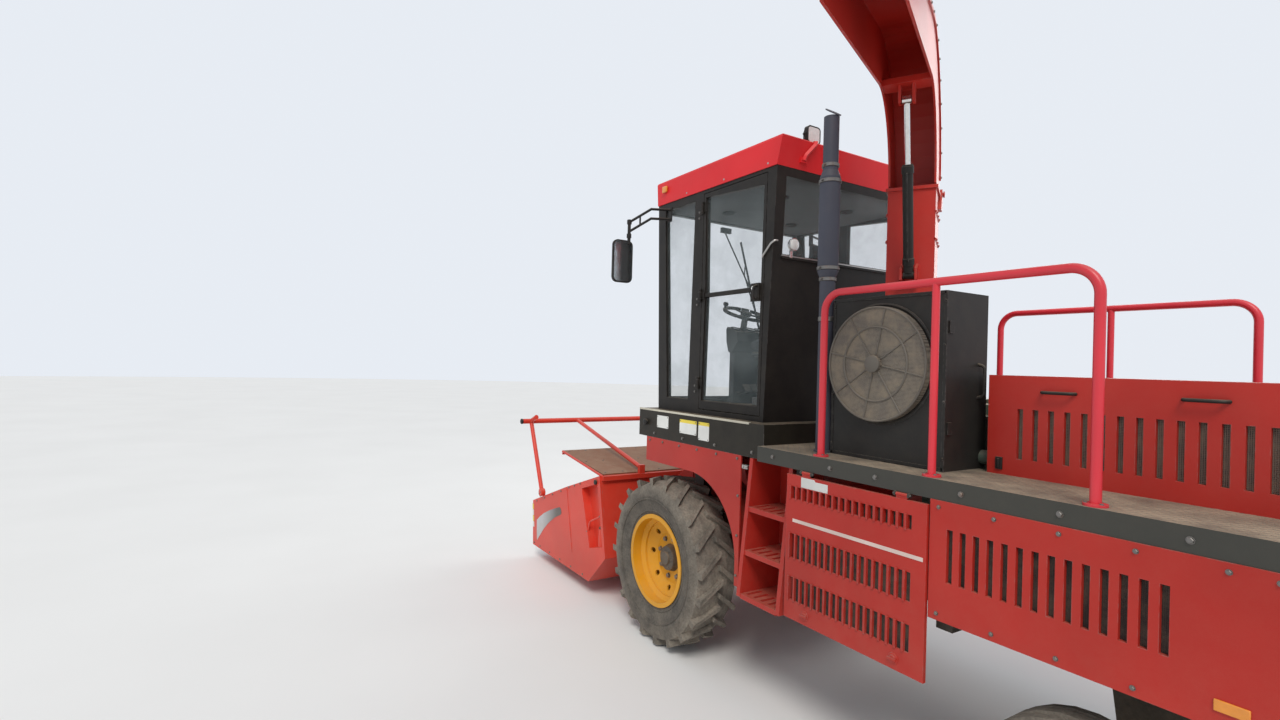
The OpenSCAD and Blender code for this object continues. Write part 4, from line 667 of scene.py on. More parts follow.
    # Rubber seals round the panes, held off the moving door
    door = [((-0.896, 1.866), (-0.29, 1.866), (-0.306, 2.632), (-0.902, 2.632)),
        ((-0.905, 2.657), (-0.306, 2.657), (-0.288, 3.372), (-0.908, 3.372))]
    quarter = [((-0.126, 1.866), (0.159, 1.866), (0.249, 3.372), (-0.158, 3.372))]
    for name, body, y, panes in (("door_seals", "door", SEAL_Y, door),
            ("quarter_seals", "machine", SEAL_Y, quarter), ("right_seals", "machine", -SEAL_Y, door + quarter)):
        seals = Shape()
        for pane in panes:
            seals.loop([(a, y, b) for a, b in pane], 0.006)
        seals.done(name, "trim", body=body)
    # Door lock and pull
    lock = Shape().lathe([(0, 0.013), (0.007, 0.013), (0.009, 0.01), (0.006, 0.009)], (-0.85, 0.812, 2.648),
        LEFT, 20)
    lock.done("door_lock", "chrome", body="door")
    pull = Shape().tube([(-0.88, 0.809, 2.572), (-0.88, 0.838, 2.582), (-0.88, 0.838, 2.652),
        (-0.88, 0.809, 2.664)], 0.008, 0.016, 10)
    pull.done("door_pull", "trim", body="door")
    hinges = Shape()
    for z in (1.95, 2.6, 3.25):
        hinges.bolts([(-0.215, 0.7955, z - 0.022), (-0.215, 0.7955, z + 0.022)], LEFT, 0.013, 0.006)
    hinges.done("door_hinge_bolts", "nut")
    # Driver's controls
    rim = Shape()
    centre, lean = Vector((0.088, 0.05, 2.572)), radians(-20)
    wheel = Matrix.Translation(centre) @ Matrix.Rotation(lean, 4, "Y")
    for start in range(0, 360, 24):
        arc = [wheel @ Vector((0.185 * cos(radians(start + k * 3)), 0.185 * sin(radians(start + k * 3)),
            0)) for k in range(8)]
        rim.tube([tuple(p) for p in arc], 0.0155, 0, 10)
    boss = wheel @ Vector((0, 0, 0.01))
    up = wheel.to_3x3() @ Vector((0, 0, 1))
    rim.lathe([(0, 0.05), (0.008, 0.048), (0.014, 0.036), (0.016, 0)], tuple(boss), up, 28)
    knob = wheel @ Vector((0.115, 0.145, 0.0))
    rim.lathe([(0, 0.008), (0.03, 0.009), (0.034, 0.02), (0.052, 0.023), (0.062, 0.016), (0.065, 0)],
        tuple(knob), up, 16)
    rim.done("steering_wheel_grip", "trim")
    # Dashboard with its head wider than its foot, column, wheel and armrest console
    floor_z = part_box("console")[0][2]
    console = Shape().prism([(0.11, floor_z), (0.11, 2.262), (0.172, 2.262), (0.172, floor_z)], -0.145, 0.145)
    console.prism([(0.112, 2.245), (0.04, 2.335), (0.056, 2.4182), (0.18, 2.4625), (0.196, 2.44), (0.188, 2.33),
        (0.16, 2.245)], -0.172, 0.172)
    console.lathe([(0, 0.028), (0.184, 0.026)], (0.13, 0.05, 2.38), (-0.038, 0, 0.18), 20)
    for angle in (0, 120, 240):
        end = Vector((cos(radians(angle)), sin(radians(angle)), 0))
        console.tube([tuple(wheel @ (end * 0.03)), tuple(wheel @ (end * 0.186))], 0.008, 0, 8)
    console.lathe([(-0.012, 0.045), (0.012, 0.045)], tuple(centre), up, 24)
    console.prism([(-0.64, floor_z), (-0.64, 2.38), (-0.6, 2.42), (-0.2, 2.44), (-0.14, 2.4), (-0.14, 2.33),
        (-0.22, 2.3), (-0.22, floor_z)], -0.56, -0.32)
    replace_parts(console.done("dashboard_and_console", "trim", 0.006), "console")
    dials, faces, tilt = Shape(), Shape(), (-0.335, 0, 0.94)
    for y0, r in ((-0.128, 0.034), (-0.04, 0.044), (0.13, 0.034)):
        place, inner = (0.125, y0, 2.4425), r - 0.003
        dials.lathe([(0, r + 0.006), (0.01, r + 0.004), (0.01, inner), (0.004, r - 0.005)], place, tilt, 28)
        faces.lathe([(0.004, inner), (0.006, inner)], place, tilt, 28)
    dials.done("dial_rims", "trim")
    faces.done("dial_faces", "dial")
    levers = Shape()
    for x0, y0, high in ((-0.5, -0.44, 0.2), (-0.36, -0.39, 0.11), (-0.36, -0.44, 0.11), (-0.36, -0.49, 0.11)):
        z0 = 2.425 + (x0 + 0.6) * 0.05
        levers.lathe([(0, 0.03), (0.01, 0.024), (0.02, 0.01)], (x0, y0, z0), UP, 16)
        levers.tube([(x0, y0, z0), (x0 + 0.012, y0, z0 + high)], 0.006, 0, 8)
        levers.lathe([(0, 0.008), (0.006, 0.016), (0.03, 0.019), (0.046, 0.014), (0.05, 0)],
            (x0 + 0.012, y0, z0 + high - 0.01), (0.1, 0, 1), 16)
    levers.done("levers", "trim")
    pedals = Shape()
    for y0 in (-0.105, 0.025, 0.105):
        pedals.tube([(0.108, y0, 1.9), (0.06, y0, 1.9), (-0.01, y0, 1.935)], 0.009, 0.02, 8)
        pedals.prism([(-0.03, 1.915), (0.01, 1.975), (0.002, 1.981), (-0.038, 1.921)], y0 - 0.035, y0 + 0.035)
    pedals.done("pedals", "trim", 0.003)
    Shape().box((-0.88, -0.72, 1.804), (0.1, 0.72, 1.812)).done("floor_mat", "mat", 0.003)
    # Roof: hatch and screws
    Shape().box((-0.62, -0.26, 3.616), (-0.1, 0.26, 3.64)).done("roof_hatch", "roof", 0.01)
    screws = Shape().bolts([(x0, y0, 3.619) for x0 in (-1.02, -0.55, -0.08, 0.3) for y0 in (-0.74, 0.74)], UP,
        0.014, 0.006)
    screws.bolts([(x0, s * 0.8015, 3.455) for x0 in (-0.95, -0.5, -0.05) for s in (1, -1)], (0, 0.001, 0), 0.01,
        0.001)
    screws.done("roof_screws", "steel")


# Body between the axles

# Blank plates on the left beam: rear end, front end, bottom, top, depth of a yellow band along the top
BEAM_PLATES = [(-0.031, 0.123, 1.632, 1.726, 0.0), (-0.389, -0.183, 1.62, 1.722, 0.024),
               (-0.535, -0.414, 1.595, 1.723, 0.024)]
# Louvre rows of the side doors: lower edge, upper edge; and how many slots, and their pitch
LOUVRES = [(1.378, 1.447), (1.04, 1.177), (0.8, 0.93)]
SLOTS, SLOT_PITCH = 18, 0.044
# The exhaust stack's axis
STACK = (-1.42, 0.74)


def body_fittings():
    white, yellow = Shape(), Shape()
    for rear, front, low, high, band in BEAM_PLATES:
        white.prism(round_rect((rear, low), (front, high - band), 0.006), 0.899, 0.9025)
        if band:
            yellow.prism(round_rect((rear, high - band - 0.004), (front, high), 0.004), 0.899, 0.9022)
    white.done("blank_plates", "white")
    yellow.done("plate_bands", "plate_yellow")
    screws = Shape()
    for rear, front, low, high, band in BEAM_PLATES:
        corners = [(a, 0.9024, b) for a in (rear + 0.009, front - 0.009) for b in (low + 0.009, high - 0.009)]
        screws.bolts(corners, LEFT, 0.006, 0.002)
    screws.bolts([(x, 0.9, 1.58) for x in (-0.98, -0.6, -0.22, 0.16)], LEFT, 0.017, 0.008)
    screws.bolts([(x, 0.8995, 1.522) for x in (-0.84, -0.62, -0.4, -0.18, 0.04, 0.22)], LEFT, 0.014, 0.007)
    screws.bolts([(-0.855, 0.8995, z) for z in (0.76, 1.02, 1.28)], LEFT, 0.014, 0.007)
    screws.bolts([(x, 0.95, 1.588) for x in (-1.22, -1.66, -1.95, -2.4, -2.8, -3.2)], LEFT, 0.019, 0.009)
    screws.bolts([(x, 0.955, z) for x in (-2.3, -2.55, -2.8, -3.05, -3.3, -3.42) for z in (1.03, 1.512)], LEFT,
        0.014, 0.007)
    for x in (-1.55, -2.225, -2.9):
        screws.bolts([(x + a, 0.9 + b, 1.6465) for a, b in polar(0.032, 3, 0.5)], UP, 0.011, 0.005)
    screws.done("body_bolts", "nut", both=True)
    Shape().box((-0.945, 0.886, 1.7545), (0.387, 0.9035, 1.7685)).done("beam_edge_trim", "edge_trim", 0.002,
        both=True)
    knob = Shape().lathe([(0, 0.017), (0.01, 0.017), (0.013, 0.026), (0.024, 0.026), (0.03, 0.016), (0.031, 0)],
        (0.273, 0.899, 1.66), LEFT, 20)
    knob.done("beam_knob", "trim")
    clamp = Shape().box((-0.945, 0.87, 1.466), (-0.892, 0.904, 1.49))
    clamp.bolts([(-0.905, 0.904, 1.478), (-0.93, 0.904, 1.478)], LEFT, 0.013, 0.007)
    clamp.done("pipe_clamp", "steel", 0.003)
    Shape().box((-3.36, 0.953, 1.06), (-3.27, 0.962, 1.098)).done("side_reflectors", "amber", 0.003, both=True)
    # Side doors: bars between the louvres, latches, hinge nuts, and a thin pale strip that is a painted
    # highlight along a fold; the label is blank
    for side in ("left", "right"):
        fins = Shape()
        for low, high in LOUVRES:
            for i in range(SLOTS):
                x = -1.4 - i * SLOT_PITCH
                fins.prism([(x, 0.964), (x + 0.017, 0.964), (x + 0.012, 0.9725), (x, 0.9745)], low - 0.003,
                    high + 0.003, 2)
        latches = Shape()
        for x in (-1.52, -2.09):
            latches.lathe([(0, 0.028), (0.004, 0.027), (0.006, 0.018), (0.012, 0.016), (0.013, 0)],
                (x, DOOR_FACE, 0.742), LEFT, 24)
            latches.box((x - 0.024, 0.975, 0.737), (x + 0.024, 0.982, 0.747))
        ends = Shape()
        for x in (-1.5, -2.11):
            for s in (-1, 1):
                ends.bolts([(x + s * 0.043, 0.955, 1.533)], (s, 0, 0), 0.012, 0.006)
        nets = Shape().box((-2.186, 0.953, 0.755), (-1.424, 0.9565, 1.343))
        nets.box((-2.2, 0.94, 1.366), (-1.392, 0.9445, 1.459))
        # Thin pale strip across the door face: a painted highlight where a fold catches the light
        painted_highlight = Shape().prism([(-1.412, 1.245), (-1.412, 1.264), (-2.235, 1.264), (-2.235, 1.245)], DOOR_FACE,
            0.9668)
        door = f"service_door_{side}"
        for shape, name, finish, body in ((fins, "louvre_bars", "red", door), (nets, "door_net", "vent_mesh",
            door),
                                          (latches, "door_latches", "red", door),
                                          (ends, "side_hinge_nuts", "nut", "machine"),
                                          (painted_highlight, "door_stripe", "painted_highlight", door)):
            shape.on(side).done(f"{name}_{side}", finish, body=body)
    Shape().box((-3.17, 0.93, 1.16), (-2.32, 0.9345, 1.44)).done("side_panel_nets", "vent_mesh", both=True)
    label = Shape().prism([(-1.47, 1.452), (-1.47, 1.5085), (-1.565, 1.5085), (-1.575, 1.498), (-1.662, 1.498),
        (-1.662, 1.452)], DOOR_FACE, 0.9665)
    label.done("door_label_blank", "white", body="service_door_left")
    # Pipes and valve blocks along the left rail
    pipes = Shape()
    for z in (0.925, 0.95, 0.975):
        pipes.tube([(-1.76, 0.474, z), (-0.33, 0.474, z)], 0.0075, 0, 8)
        pipes.tube([(-0.25, 0.474, z), (-0.12, 0.474, z), (-0.08, 0.474, z - 0.05), (-0.08, 0.456, z - 0.06)],
            0.0075, 0.03, 8)
    for x in (-0.55, -0.95, -1.35):
        pipes.box((x - 0.012, 0.459, 0.908), (x + 0.012, 0.486, 0.992))
    pipes.done("rail_pipes", "nut")
    blocks = Shape().box((-0.345, 0.4595, 0.9), (-0.24, 0.515, 1.0)).box((-1.86, 0.4595, 0.905),
        (-1.75, 0.51, 0.995))
    for x in (-0.325, -0.292, -0.26):
        blocks.lathe([(0, 0.011), (0.03, 0.011), (0.034, 0.008)], (x, 0.488, 1.0), UP, 12)
    blocks.done("valve_blocks", "frame", 0.004)
    # Radiator box: edge angles, door catches, screen seal; the screen's own spokes and cap turn with it
    frame_bars = Shape()
    for x in (-2.176, -1.484):
        frame_bars.box((x - 0.008, 0.7375, 1.64), (x + 0.008, 0.7435, 2.526))
    for z in (1.648, 2.522):
        frame_bars.box((-2.176, 0.7375, z - 0.008), (-1.484, 0.7435, z + 0.008))
    frame_bars.bolts([(x, 0.7435, z) for x in (-2.176, -1.484) for z in (1.7, 1.98, 2.26, 2.48)], LEFT, 0.01,
        0.005)
    frame_bars.lathe(hexagon(-0.001, 0.322, 0.007, 0.01), (-1.8, 0.74, 2.16), LEFT, 64)
    for z in (1.85, 2.35):
        frame_bars.box((-2.19, 0.69, z - 0.03), (-2.179, 0.725, z + 0.03))
    frame_bars.tube([(-2.179, 0.46, 2.0), (-2.214, 0.46, 2.01), (-2.214, 0.46, 2.16), (-2.179, 0.46, 2.17)],
        0.008, 0.02, 8)
    frame_bars.done("radiator_trim", "frame")
    spokes = Shape()
    for a, b in polar(1.0, 8, 0.2):
        spokes.tube([(-1.8 + 0.05 * a, 0.787, 2.16 + 0.05 * b), (-1.8 + 0.3 * a, 0.787, 2.16 + 0.3 * b)],
            0.0045, 0, 6)
    for radius in (0.305, 0.2):
        spokes.lathe(hexagon(0.0, radius, 0.0065), (-1.8, 0.786, 2.16), LEFT, 64)
    spokes.lathe([(0, 0.047), (0.01, 0.046), (0.016, 0.034), (0.018, 0)], (-1.8, 0.7995, 2.16), LEFT, 28)
    spokes.done("screen_spokes", "screen_bars", body="screen")
    # Exhaust: bands and a stay to the radiator box
    stack = Shape()
    for z, r in ((2.655, 0.0475), (2.72, 0.0625), (3.235, 0.0625), (3.33, 0.0475)):
        stack.lathe([(-0.011, r), (-0.009, r + 0.003), (0.009, r + 0.003), (0.011, r)], (*STACK, z), UP,
            32)
        stack.bolts([(STACK[0], STACK[1] + r + 0.003, z)], LEFT, 0.011, 0.012)
    stack.lathe([(-0.014, 0.046), (-0.012, 0.05), (0.012, 0.05), (0.014, 0.046)], (*STACK, 2.42), UP, 32)
    stack.box((-1.486, 0.708, 2.408), (-1.44, 0.728, 2.432))
    stack.done("exhaust_bands", "nut")
    # Hood: inner mesh behind its slots, handles, latches and hinges
    Shape().box((-3.4, 0.472, 1.69), (-2.3, 0.478, 1.985)).done("hood_mesh", "screen", both=True)
    hood = Shape()
    for x in (-3.1, -2.58):
        hood.tube([(x - 0.07, 0.4995, 2.045), (x - 0.06, 0.53, 2.045), (x + 0.06, 0.53, 2.045),
            (x + 0.07, 0.4995, 2.045)], 0.008, 0.02, 8)
    for x in (-3.36, -2.32):
        hood.box((x - 0.016, 0.499, 1.66), (x + 0.016, 0.508, 1.72))
        hood.tube([(x, 0.51, 1.668), (x, 0.512, 1.712)], 0.006, 0, 8)
    hood.done("hood_fittings", "trim", 0.001, both=True)
    # Engine: covers, manifold, filter and belt drive
    engine = Shape()
    for x in (-2.86, -2.5, -2.14):
        engine.box((x, -0.21, 1.895), (x + 0.3, 0.21, 1.955))
        engine.lathe([(0, 0.022), (0.02, 0.022), (0.024, 0.016)], (x + 0.15, 0.0, 1.955), UP, 16)
    for k in range(6):
        x = -2.86 + k * 0.185
        engine.tube([(x, 0.338, 1.74), (x, 0.385, 1.74), (x + 0.03, 0.4, 1.7)], 0.026, 0.03, 10)
    engine.tube([(-2.9, 0.405, 1.695), (-1.86, 0.405, 1.695)], 0.036, 0, 14)
    engine.lathe([(0, 0.02), (0.01, 0.052), (0.16, 0.052), (0.17, 0.04)], (-2.3, 0.395, 1.36), (0, 0, -1), 24)
    engine.box((-2.36, 0.338, 1.355), (-2.24, 0.44, 1.4))
    engine.lathe([(0, 0.115), (0.05, 0.115), (0.05, 0.04), (0.062, 0.04)], (-1.802, 0.0, 1.22), (1, 0, 0), 36)
    engine.lathe([(0, 0.085), (0.05, 0.085), (0.05, 0.03), (0.062, 0.03)], (-1.802, 0.0, 1.62), (1, 0, 0), 36)
    engine.lathe([(0, 0.045), (0.05, 0.045), (0.06, 0.02)], (-1.802, 0.24, 1.45), (1, 0, 0), 28)
    engine.done("engine_fittings", "engine", 0.004)
    belt = Shape()
    belt.tube([(-1.777, 0.118, 1.2), (-1.777, 0.285, 1.43), (-1.777, 0.27, 1.49), (-1.777, 0.06, 1.695),
        (-1.777, -0.06, 1.7), (-1.777, -0.118, 1.24), (-1.777, -0.09, 1.14), (-1.777, 0.0, 1.102),
        (-1.777, 0.09, 1.13), (-1.777, 0.118, 1.2)], 0.01, 0.05, 8)
    belt.done("engine_belt", "trim")
    # Tank bands and cap
    tank = Shape()
    edge = [(-0.423, 1.105), (-0.423, 1.452), (-0.371, 1.503), (0.371, 1.503), (0.423, 1.452), (0.423, 1.105)]
    for x in (-3.52, -3.2):
        tank.prism(edge, x - 0.02, x + 0.02, 0)
    tank.lathe([(0, 0.059), (0.01, 0.06), (0.014, 0.046), (0.03, 0.042), (0.032, 0)], (-3.52, -0.29, 1.51), UP,
        28)
    tank.done("tank_bands", "frame", 0.001)


def rear_fittings():
    Shape().prism(round_rect((0.47, 0.86), (0.65, 0.95), 0.014), -3.925, -3.898, 0).done("tail_lamp_cases",
        "trim", 0.004, both=True)
    for name, finish, low, high in (("tail_lenses", "red_lens", 0.478, 0.562),
            ("turn_lenses", "amber", 0.566, 0.642)):
        Shape().prism(round_rect((low, 0.868), (high, 0.942), 0.01), -3.932, -3.922, 0).done(name, finish,
            0.003, both=True)
    Shape().lathe([(0, 0.034), (0.006, 0.034), (0.009, 0.028), (0.009, 0)], (-3.8995, 0.6, 1.03), BACK,
        28).done("rear_reflectors", "red_lens", both=True)
    Shape().prism(round_rect((-0.225, 0.985), (0.225, 1.1), 0.01), -3.9035, -3.899,
        0).done("number_plate_blank", "white")
    rim = Shape()
    rim.loop([(-3.902, a, b) for a, b in round_rect((-0.23, 0.98), (0.23, 1.105), 0.012)], 0.004)
    rim.bolts([(-3.9035, s * 0.17, z) for s in (-1, 1) for z in (1.0, 1.085)], BACK, 0.009, 0.004)
    rim.bolts([(-3.9, s * y, 0.9) for s in (-1, 1) for y in (0.12, 0.34)], BACK, 0.03, 0.016)
    rim.done("number_plate_rim", "trim")
    pin = Shape().lathe([(0, 0.01), (0.012, 0.0145), (0.165, 0.0145), (0.165, 0.024), (0.175, 0.024),
        (0.178, 0.02)], (-3.93, 0, 0.575), UP, 24)
    pin.tube([(-3.93, -0.016, 0.752), (-3.93, -0.03, 0.775), (-3.93, -0.022, 0.806), (-3.93, 0.022, 0.806),
        (-3.93, 0.03, 0.775), (-3.93, 0.016, 0.752)], 0.005, 0.014, 8)
    pin.done("hitch_pin", "nut")
    clip = Shape().tube([(-3.93, -0.026, 0.59), (-3.93, 0.03, 0.59), (-3.958, 0.04, 0.59),
        (-3.958, -0.02, 0.59), (-3.944, -0.03, 0.59)], 0.0028, 0.008, 6)
    clip.done("hitch_clip", "steel")


# Axes of the gathering drums and cutting discs
DRUM_X, DRUM_Y = 1.72, 0.47


def header_fittings():
    mark = [(2.286, 0.206), (2.3, 0.3), (2.306, 0.417), (2.23, 0.47), (2.12, 0.53), (1.98, 0.59), (1.84, 0.64),
        (1.74, 0.672), (1.705, 0.655), (1.694, 0.62), (1.72, 0.598), (1.85, 0.545), (2.0, 0.455), (2.12, 0.365),
        (2.22, 0.27)]
    Shape().prism(mark, 0.969, 0.9722).done("side_swoosh", "swoosh", body="header", both=True)
    white, yellow = Shape(), Shape()
    for k in range(4):
        z = 0.325 + k * 0.062
        x = 2.374 + k * 0.0085
        (yellow if k % 2 else white).prism([(x, z), (x + 0.03, z), (x + 0.037, z + 0.058),
            (x + 0.007, z + 0.058)], 0.9695, 0.972)
    white.done("front_reflectors_white", "white", body="header", both=True)
    yellow.done("front_reflectors_yellow", "plate_yellow", body="header", both=True)
    cap = Shape().lathe([(0, 0.022), (0.014, 0.022), (0.018, 0.015), (0.018, 0)], (0.985, 0.9695, 1.052), LEFT,
        20)
    cap.lathe([(0, 0.044), (0.012, 0.044), (0.016, 0.036), (0.016, 0)], (0.935, 0.903, 0.6405), UP, 28)
    cap.done("header_caps", "trim", body="header", both=True)
    strap = Shape().tube([(1.14, 0.898, 0.56), (1.14, 0.957, 0.57), (1.105, 0.957, 0.672), (0.905, 0.957, 0.76),
        (0.872, 0.957, 0.74), (0.835, 0.957, 0.54), (0.835, 0.898, 0.53)], 0.0085, 0.025, 8)
    strap.done("recess_guard", "header", body="header", both=True)
    bolts = Shape()
    bolts.bolts([(1.3, 0.97, 0.985), (1.42, 0.97, 0.945), (1.54, 0.97, 0.905), (1.72, 0.97, 0.835),
        (1.92, 0.97, 0.765), (2.12, 0.97, 0.69), (2.32, 0.97, 0.62)], LEFT, 0.014, 0.007)
    bolts.bolts([(x, 0.97, 0.165) for x in (1.2, 1.45, 1.7, 1.95, 2.2, 2.36)], LEFT, 0.014, 0.007)
    bolts.bolts([(1.14, 0.9655, 0.575), (0.905, 0.9655, 0.762)], LEFT, 0.013, 0.006)
    bolts.bolts([(2.14 + a, 1.015, 0.73 + b) for a, b in polar(0.024, 3)], LEFT, 0.01, 0.005)
    bolts.bolts([(x, y, 1.129 + (x - 0.936) * 0.117) for x in (0.98, 1.36, 1.74) for y in (0.1, 0.3, 0.7,
        0.88)], UP, 0.013, 0.005)
    bolts.done("header_bolts", "nut", body="header", both=True)
    ends = Shape().lathe([(0, 0.0275), (0.004, 0.0285), (0.018, 0.0285), (0.022, 0.022), (0.023, 0)],
        (2.5, 1.0885, 1.46), LEFT, 24)
    ends.done("push_bar_caps", "trim", body="header", both=True)
    for side_name, sign in (("left", 1), ("right", -1)):
        top = Shape().bolts([(DRUM_X + a, sign * DRUM_Y + b, 0.845) for a, b in polar(0.135, 8)], UP, 0.02,
            0.01)
        top.bolts([(DRUM_X, sign * DRUM_Y, 0.885)], UP, 0.04, 0.02)
        top.done(f"drum_bolts_{side_name}", "nut", body=f"drum_{side_name}")
        disc = Shape().bolts([(DRUM_X + a, sign * DRUM_Y + b, 0.1825) for a, b in polar(0.42, 12, 0.05)], UP,
            0.018,
            0.008)
        disc.done(f"disc_bolts_{side_name}", "nut", body=f"disc_{side_name}")


# Spout: places in its own directions, x away from the slewing axis and y across
TURN = Matrix.Translation((-1.46, 0, 0)) @ Matrix.Rotation(radians(120), 4, "Z")
LEAN = atan2(0.96, 0.335)
# Centre of the boom's bend
BEND_X, BEND_Z = 0.6, 3.3


def sp(x, y, z):
    return tuple(TURN @ Vector((x, y, z)))


def along(x, y, z):
    return tuple(TURN.to_3x3() @ Vector((x, y, z)))


def cyl(s, y, off):
    """A place along the spout's cylinder: so far from its foot, across, and off its axis."""
    return sp(0.215 + s * cos(LEAN) - off * sin(LEAN), y, 2.72 + s * sin(LEAN) + off * cos(LEAN))


def spout_fittings():
    ring = Shape()
    ring.bolts([sp(a, b, 2.4305) for a, b in polar(0.19, 16, 0.196) if abs(a) > 0.176 or abs(b) > 0.166], UP,
        0.016, 0.01)
    for z in (2.95, 3.12):
        for y in (-0.1405, 0.1405):
            s = 1 if y > 0 else -1
            ring.tube([sp(-0.15, y, z), sp(0.15, y, z)], 0.008, 0, 6)
            ring.bolts([sp(x, y + s * 0.006, z) for x in (-0.11, 0.0, 0.11)], along(0, s, 0), 0.012, 0.006)
        ring.tube([sp(-0.1505, -0.14, z), sp(-0.1505, 0.14, z)], 0.008, 0, 6)
    for y in (-0.167, 0.167):
        s = 1 if y > 0 else -1
        ring.lathe([(0, 0.021), (0.006, 0.021), (0.009, 0.016)], sp(-0.175, y - s * 0.002, 3.3), along(0, s, 0),
            20)
    ring.done("spout_neck_bolts", "red", body="spout_base")
    boom = Shape()
    for s in (-1, 1):
        for deg in range(172, 78, -12):
            a = radians(deg)
            place = (BEND_X + 0.739 * cos(a), BEND_Z + 0.739 * sin(a))
            boom.bolts([sp(place[0], s * 0.15, place[1])], along(0, s, 0), 0.012, 0.006)
    a = radians(76)
    end = Vector((BEND_X + 0.75 * cos(a), BEND_Z + 0.75 * sin(a)))
    run = Vector((sin(a), -cos(a)))
    drop = Vector((cos(a), sin(a))) * -0.011
    for s in (-1, 1):
        for k in range(8):
            p = end + run * (0.08 + k * 0.18) + drop
            boom.bolts([sp(p[0], s * 0.15, p[1])], along(0, s, 0), 0.012, 0.006)
    boom.done("spout_boom_bolts", "nut", body="spout_arm")
    barrel = Shape()
    for s in (0.055, 0.6):
        barrel.lathe([(-0.022, 0.0305), (-0.02, 0.0345), (0.02, 0.0345), (0.022, 0.0305)], cyl(s + 0.03, 0, 0),
            along(cos(LEAN), 0, sin(LEAN)), 24)
    barrel.tube([cyl(0.61, 0, -0.03), cyl(0.61, 0, -0.052), cyl(0.58, 0, -0.056), cyl(0.13, 0, -0.056),
        cyl(0.095, 0, -0.05), cyl(0.095, 0, -0.03)], 0.0055, 0.014, 8)
    barrel.done("spout_cylinder_pipe", "frame", body="spout_cylinder")
    motor = Shape().lathe([(0, 0.06), (0.012, 0.06), (0.016, 0.044), (0.11, 0.044), (0.118, 0.036)],
        (-1.215, -0.09, 2.29), UP, 28)
    motor.box((-1.29, -0.15, 2.268), (-1.16, -0.04, 2.292))
    motor.done("slew_motor", "frame", 0.002)


# Driver's seat, which stands for the CAD seat: three sewn pads on a sprung base

# Size of the even mesh, frames of cloth, and the width and depth of a sewn channel
MESH_STEP, CLOTH_FRAMES, CHANNEL_WIDTH, CHANNEL_DEPTH = 0.006, 20, 0.007, 0.009


def pad(name, outline, half, rounding, channels, cap=0.024):
    """Foam pad blown up from a slightly smaller form, then drawn in along its sewn channels.

    The outline is in x and z, the pad reaches half to each side, and a channel is an axis, a place on
    it in metres, and the direction that the stitched face looks in.
    """
    bm = Shape().prism(outline, -half, half).bm
    bmesh.ops.recalc_face_normals(bm, faces=bm.faces)
    bmesh.ops.bevel(bm, geom=bm.edges[:], offset=rounding, segments=4, profile=0.6, affect="EDGES")
    obj = piece(name, mesh_of(name, bm, smooth=True), "seat", "machine")
    remesh = obj.modifiers.new("even", "REMESH")
    remesh.mode = "VOXEL"
    remesh.voxel_size = MESH_STEP
    remesh.use_smooth_shade = True
    obj.data = bpy.data.meshes.new_from_object(obj.evaluated_get(bpy.context.evaluated_depsgraph_get()))
    obj.modifiers.clear()
    rest = [v.co.copy() for v in obj.data.vertices]
    blown(obj, rest, cap)
    for axis, place, look in channels:
        level = place + (ORIGIN[axis] if axis != 2 else 0.0)
        side = Vector(look)
        for v in obj.data.vertices:
            near = exp(-((v.co[axis] - level) / CHANNEL_WIDTH) ** 2)
            if near > 0.02 and v.normal.dot(side) > 0.1:
                v.co -= side * (CHANNEL_DEPTH * near)
    obj.data.materials.clear()
    obj.data.materials.append(M["seat"])
    for face in obj.data.polygons:
        face.use_smooth = True
    finer = obj.modifiers.new("finer", "SUBSURF")
    finer.levels = finer.render_levels = 1
    return obj


def blown(obj, rest, cap):
    """Cloth held up by air pressure, with no point moved further than the cap."""
    scene = bpy.context.scene
    cloth = obj.modifiers.new("air", "CLOTH")
    for setting, value in (("quality", 5), ("mass", 0.3), ("use_pressure", True),
            ("uniform_pressure_force", 4.0), ("tension_stiffness", 12.0), ("compression_stiffness", 12.0),
            ("bending_stiffness", 0.4)):
        setattr(cloth.settings, setting, value)
    cloth.settings.effector_weights.gravity = 0.0
    cloth.point_cache.frame_start = 1
    cloth.point_cache.frame_end = CLOTH_FRAMES
    for frame_no in range(1, CLOTH_FRAMES + 1):
        scene.frame_set(frame_no)
    shown = obj.evaluated_get(bpy.context.evaluated_depsgraph_get()).to_mesh()
    moved = [v.co.copy() for v in shown.vertices]
    obj.evaluated_get(bpy.context.evaluated_depsgraph_get()).to_mesh_clear()
    obj.modifiers.remove(cloth)
    scene.frame_set(1)
    for v, start, end in zip(obj.data.vertices, rest, moved):
        step = end - start
        if step.length > cap:
            step *= cap / step.length
        v.co = start + step


